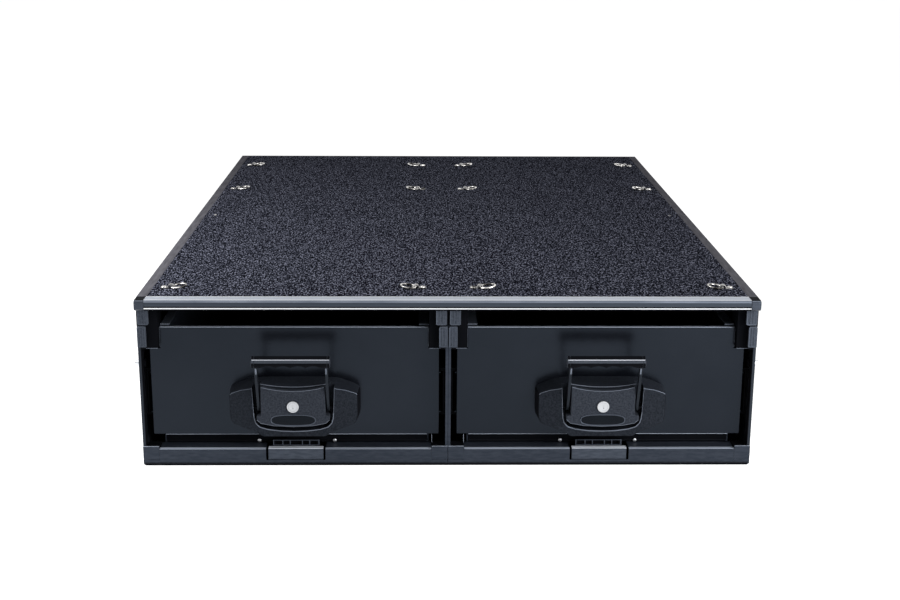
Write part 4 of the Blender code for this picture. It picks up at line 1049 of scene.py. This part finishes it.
def carpet_sheet():
    """The deck's carpet: a thin sheet with a softly uneven top and an open, turned-down rim."""
    low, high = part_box("deck_carpet")
    width = high.x - low.x + 2 * pile_overlap
    length = high.y - low.y
    work = bmesh.new()
    bmesh.ops.create_grid(work, x_segments=round(width / pile_cell), y_segments=round(length / pile_cell),
                          size=0.5)
    bmesh.ops.scale(work, verts=work.verts, vec=(width, length, 1))
    moved_by(work, ((low.x + high.x) / 2, (low.y + high.y) / 2, high.z + pile_rise))
    rim = [edge for edge in work.edges if edge.is_boundary]
    rim_verts = {vert for edge in rim for vert in edge.verts}
    for vert in work.verts:
        vert.co.z += pile_unevenness * noise.noise(vert.co * pile_waves)
        if vert in rim_verts:
            vert.co.x += rim_unevenness * noise.noise(vert.co * rim_waves)
    grown = bmesh.ops.extrude_edge_only(work, edges=rim)
    for item in grown["geom"]:
        if isinstance(item, bmesh.types.BMVert):
            item.co.z = high.z + rim_rise
    bmesh.ops.recalc_face_normals(work, faces=work.faces)
    return work


carpet = add_piece("carpet", carpet_sheet(), carpet_pile, "cabinet", ["deck_carpet"])


# Floor, light and camera

floor_glow = 0.84
room_light = 0.21
camera_place = (-0.0386853, -2.6767078, 0.8254557)
camera_lens = 56.36


def camera_white(nodes, links):
    """One where a camera, glossy or transmission ray looks, and nought elsewhere."""
    path = nodes.new("ShaderNodeLightPath")
    value = path.outputs["Is Camera Ray"]
    for kind in ("Is Glossy Ray", "Is Transmission Ray"):
        either = nodes.new("ShaderNodeMath")
        either.operation = "MAXIMUM"
        links.new(value, either.inputs[0])
        links.new(path.outputs[kind], either.inputs[1])
        value = either.outputs[0]
    return value


def make_floor():
    """A pale floor."""
    work = bmesh.new()
    bmesh.ops.create_grid(work, x_segments=1, y_segments=1, size=30)
    mesh = bpy.data.meshes.new("floor")
    work.to_mesh(mesh)
    work.free()
    floor = bpy.data.objects.new("floor", mesh)
    floor.location = (0, 0, -0.0002)
    bpy.context.scene.collection.objects.link(floor)
    material = new_finish("pale_floor", (0.80, 0.80, 0.80), 0.9, 0, 0.0)
    nodes, links = material.node_tree.nodes, material.node_tree.links
    nodes["Principled BSDF"].inputs["Emission Color"].default_value = (1, 1, 1, 1)
    lift = nodes.new("ShaderNodeMath")
    lift.operation = "MULTIPLY"
    lift.inputs[1].default_value = floor_glow
    links.new(camera_white(nodes, links), lift.inputs[0])
    feed(material, "Emission Strength", lift.outputs[0])
    mesh.materials.append(material)
    floor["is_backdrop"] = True


def make_room():
    """A surrounding that looks white and gives a dim light."""
    world = bpy.data.worlds.new("studio")
    world.use_nodes = True
    nodes, links = world.node_tree.nodes, world.node_tree.links
    background = nodes["Background"]
    background.inputs["Color"].default_value = (1, 1, 1, 1)
    strength = nodes.new("ShaderNodeMapRange")
    strength.inputs["To Min"].default_value = room_light
    strength.inputs["To Max"].default_value = 1.0
    links.new(camera_white(nodes, links), strength.inputs["Value"])
    links.new(strength.outputs["Result"], background.inputs["Strength"])
    bpy.context.scene.world = world


def softbox(name, location, target, width, height, power):
    """An area lamp that looks at a point."""
    data = bpy.data.lights.new(name, "AREA")
    data.shape = "RECTANGLE"
    data.size = width
    data.size_y = height
    data.energy = power
    lamp = bpy.data.objects.new(name, data)
    lamp.location = location
    lamp.rotation_mode = "QUATERNION"
    lamp.rotation_quaternion = (Vector(target) - Vector(location)).to_track_quat("-Z", "Y")
    bpy.context.scene.collection.objects.link(lamp)


def make_camera():
    """The photograph's camera, which looks down on the front from a little left of the middle."""
    pitch, yaw, roll = 0.265871, 0.0198594, 0.00591816
    ahead = Vector((math.sin(yaw) * math.cos(pitch), math.cos(yaw) * math.cos(pitch), -math.sin(pitch)))
    right = Vector((math.cos(yaw), -math.sin(yaw), 0))
    up = right.cross(ahead)
    image_right = math.cos(roll) * right + math.sin(roll) * up
    image_up = -math.sin(roll) * right + math.cos(roll) * up
    turn = Matrix((image_right, image_up, -ahead)).transposed().to_4x4()
    turn.translation = Vector(camera_place)
    data = bpy.data.cameras.new("camera")
    data.lens = camera_lens
    data.sensor_width = 36
    camera = bpy.data.objects.new("camera", data)
    camera.matrix_world = turn
    bpy.context.scene.collection.objects.link(camera)
    bpy.context.scene.camera = camera


make_floor()
make_room()
softbox("top_softbox", (-1.15, -0.52, 0.95), target=(-0.2, -0.35, 0.27), width=0.8, height=0.6, power=15)
softbox("front_softbox", (1.6, -2.0, 0.95), target=(0, -0.6, 0.15), width=1.6, height=1.0, power=55)
make_camera()
bpy.context.scene.view_settings.view_transform = "Standard"

low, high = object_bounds()
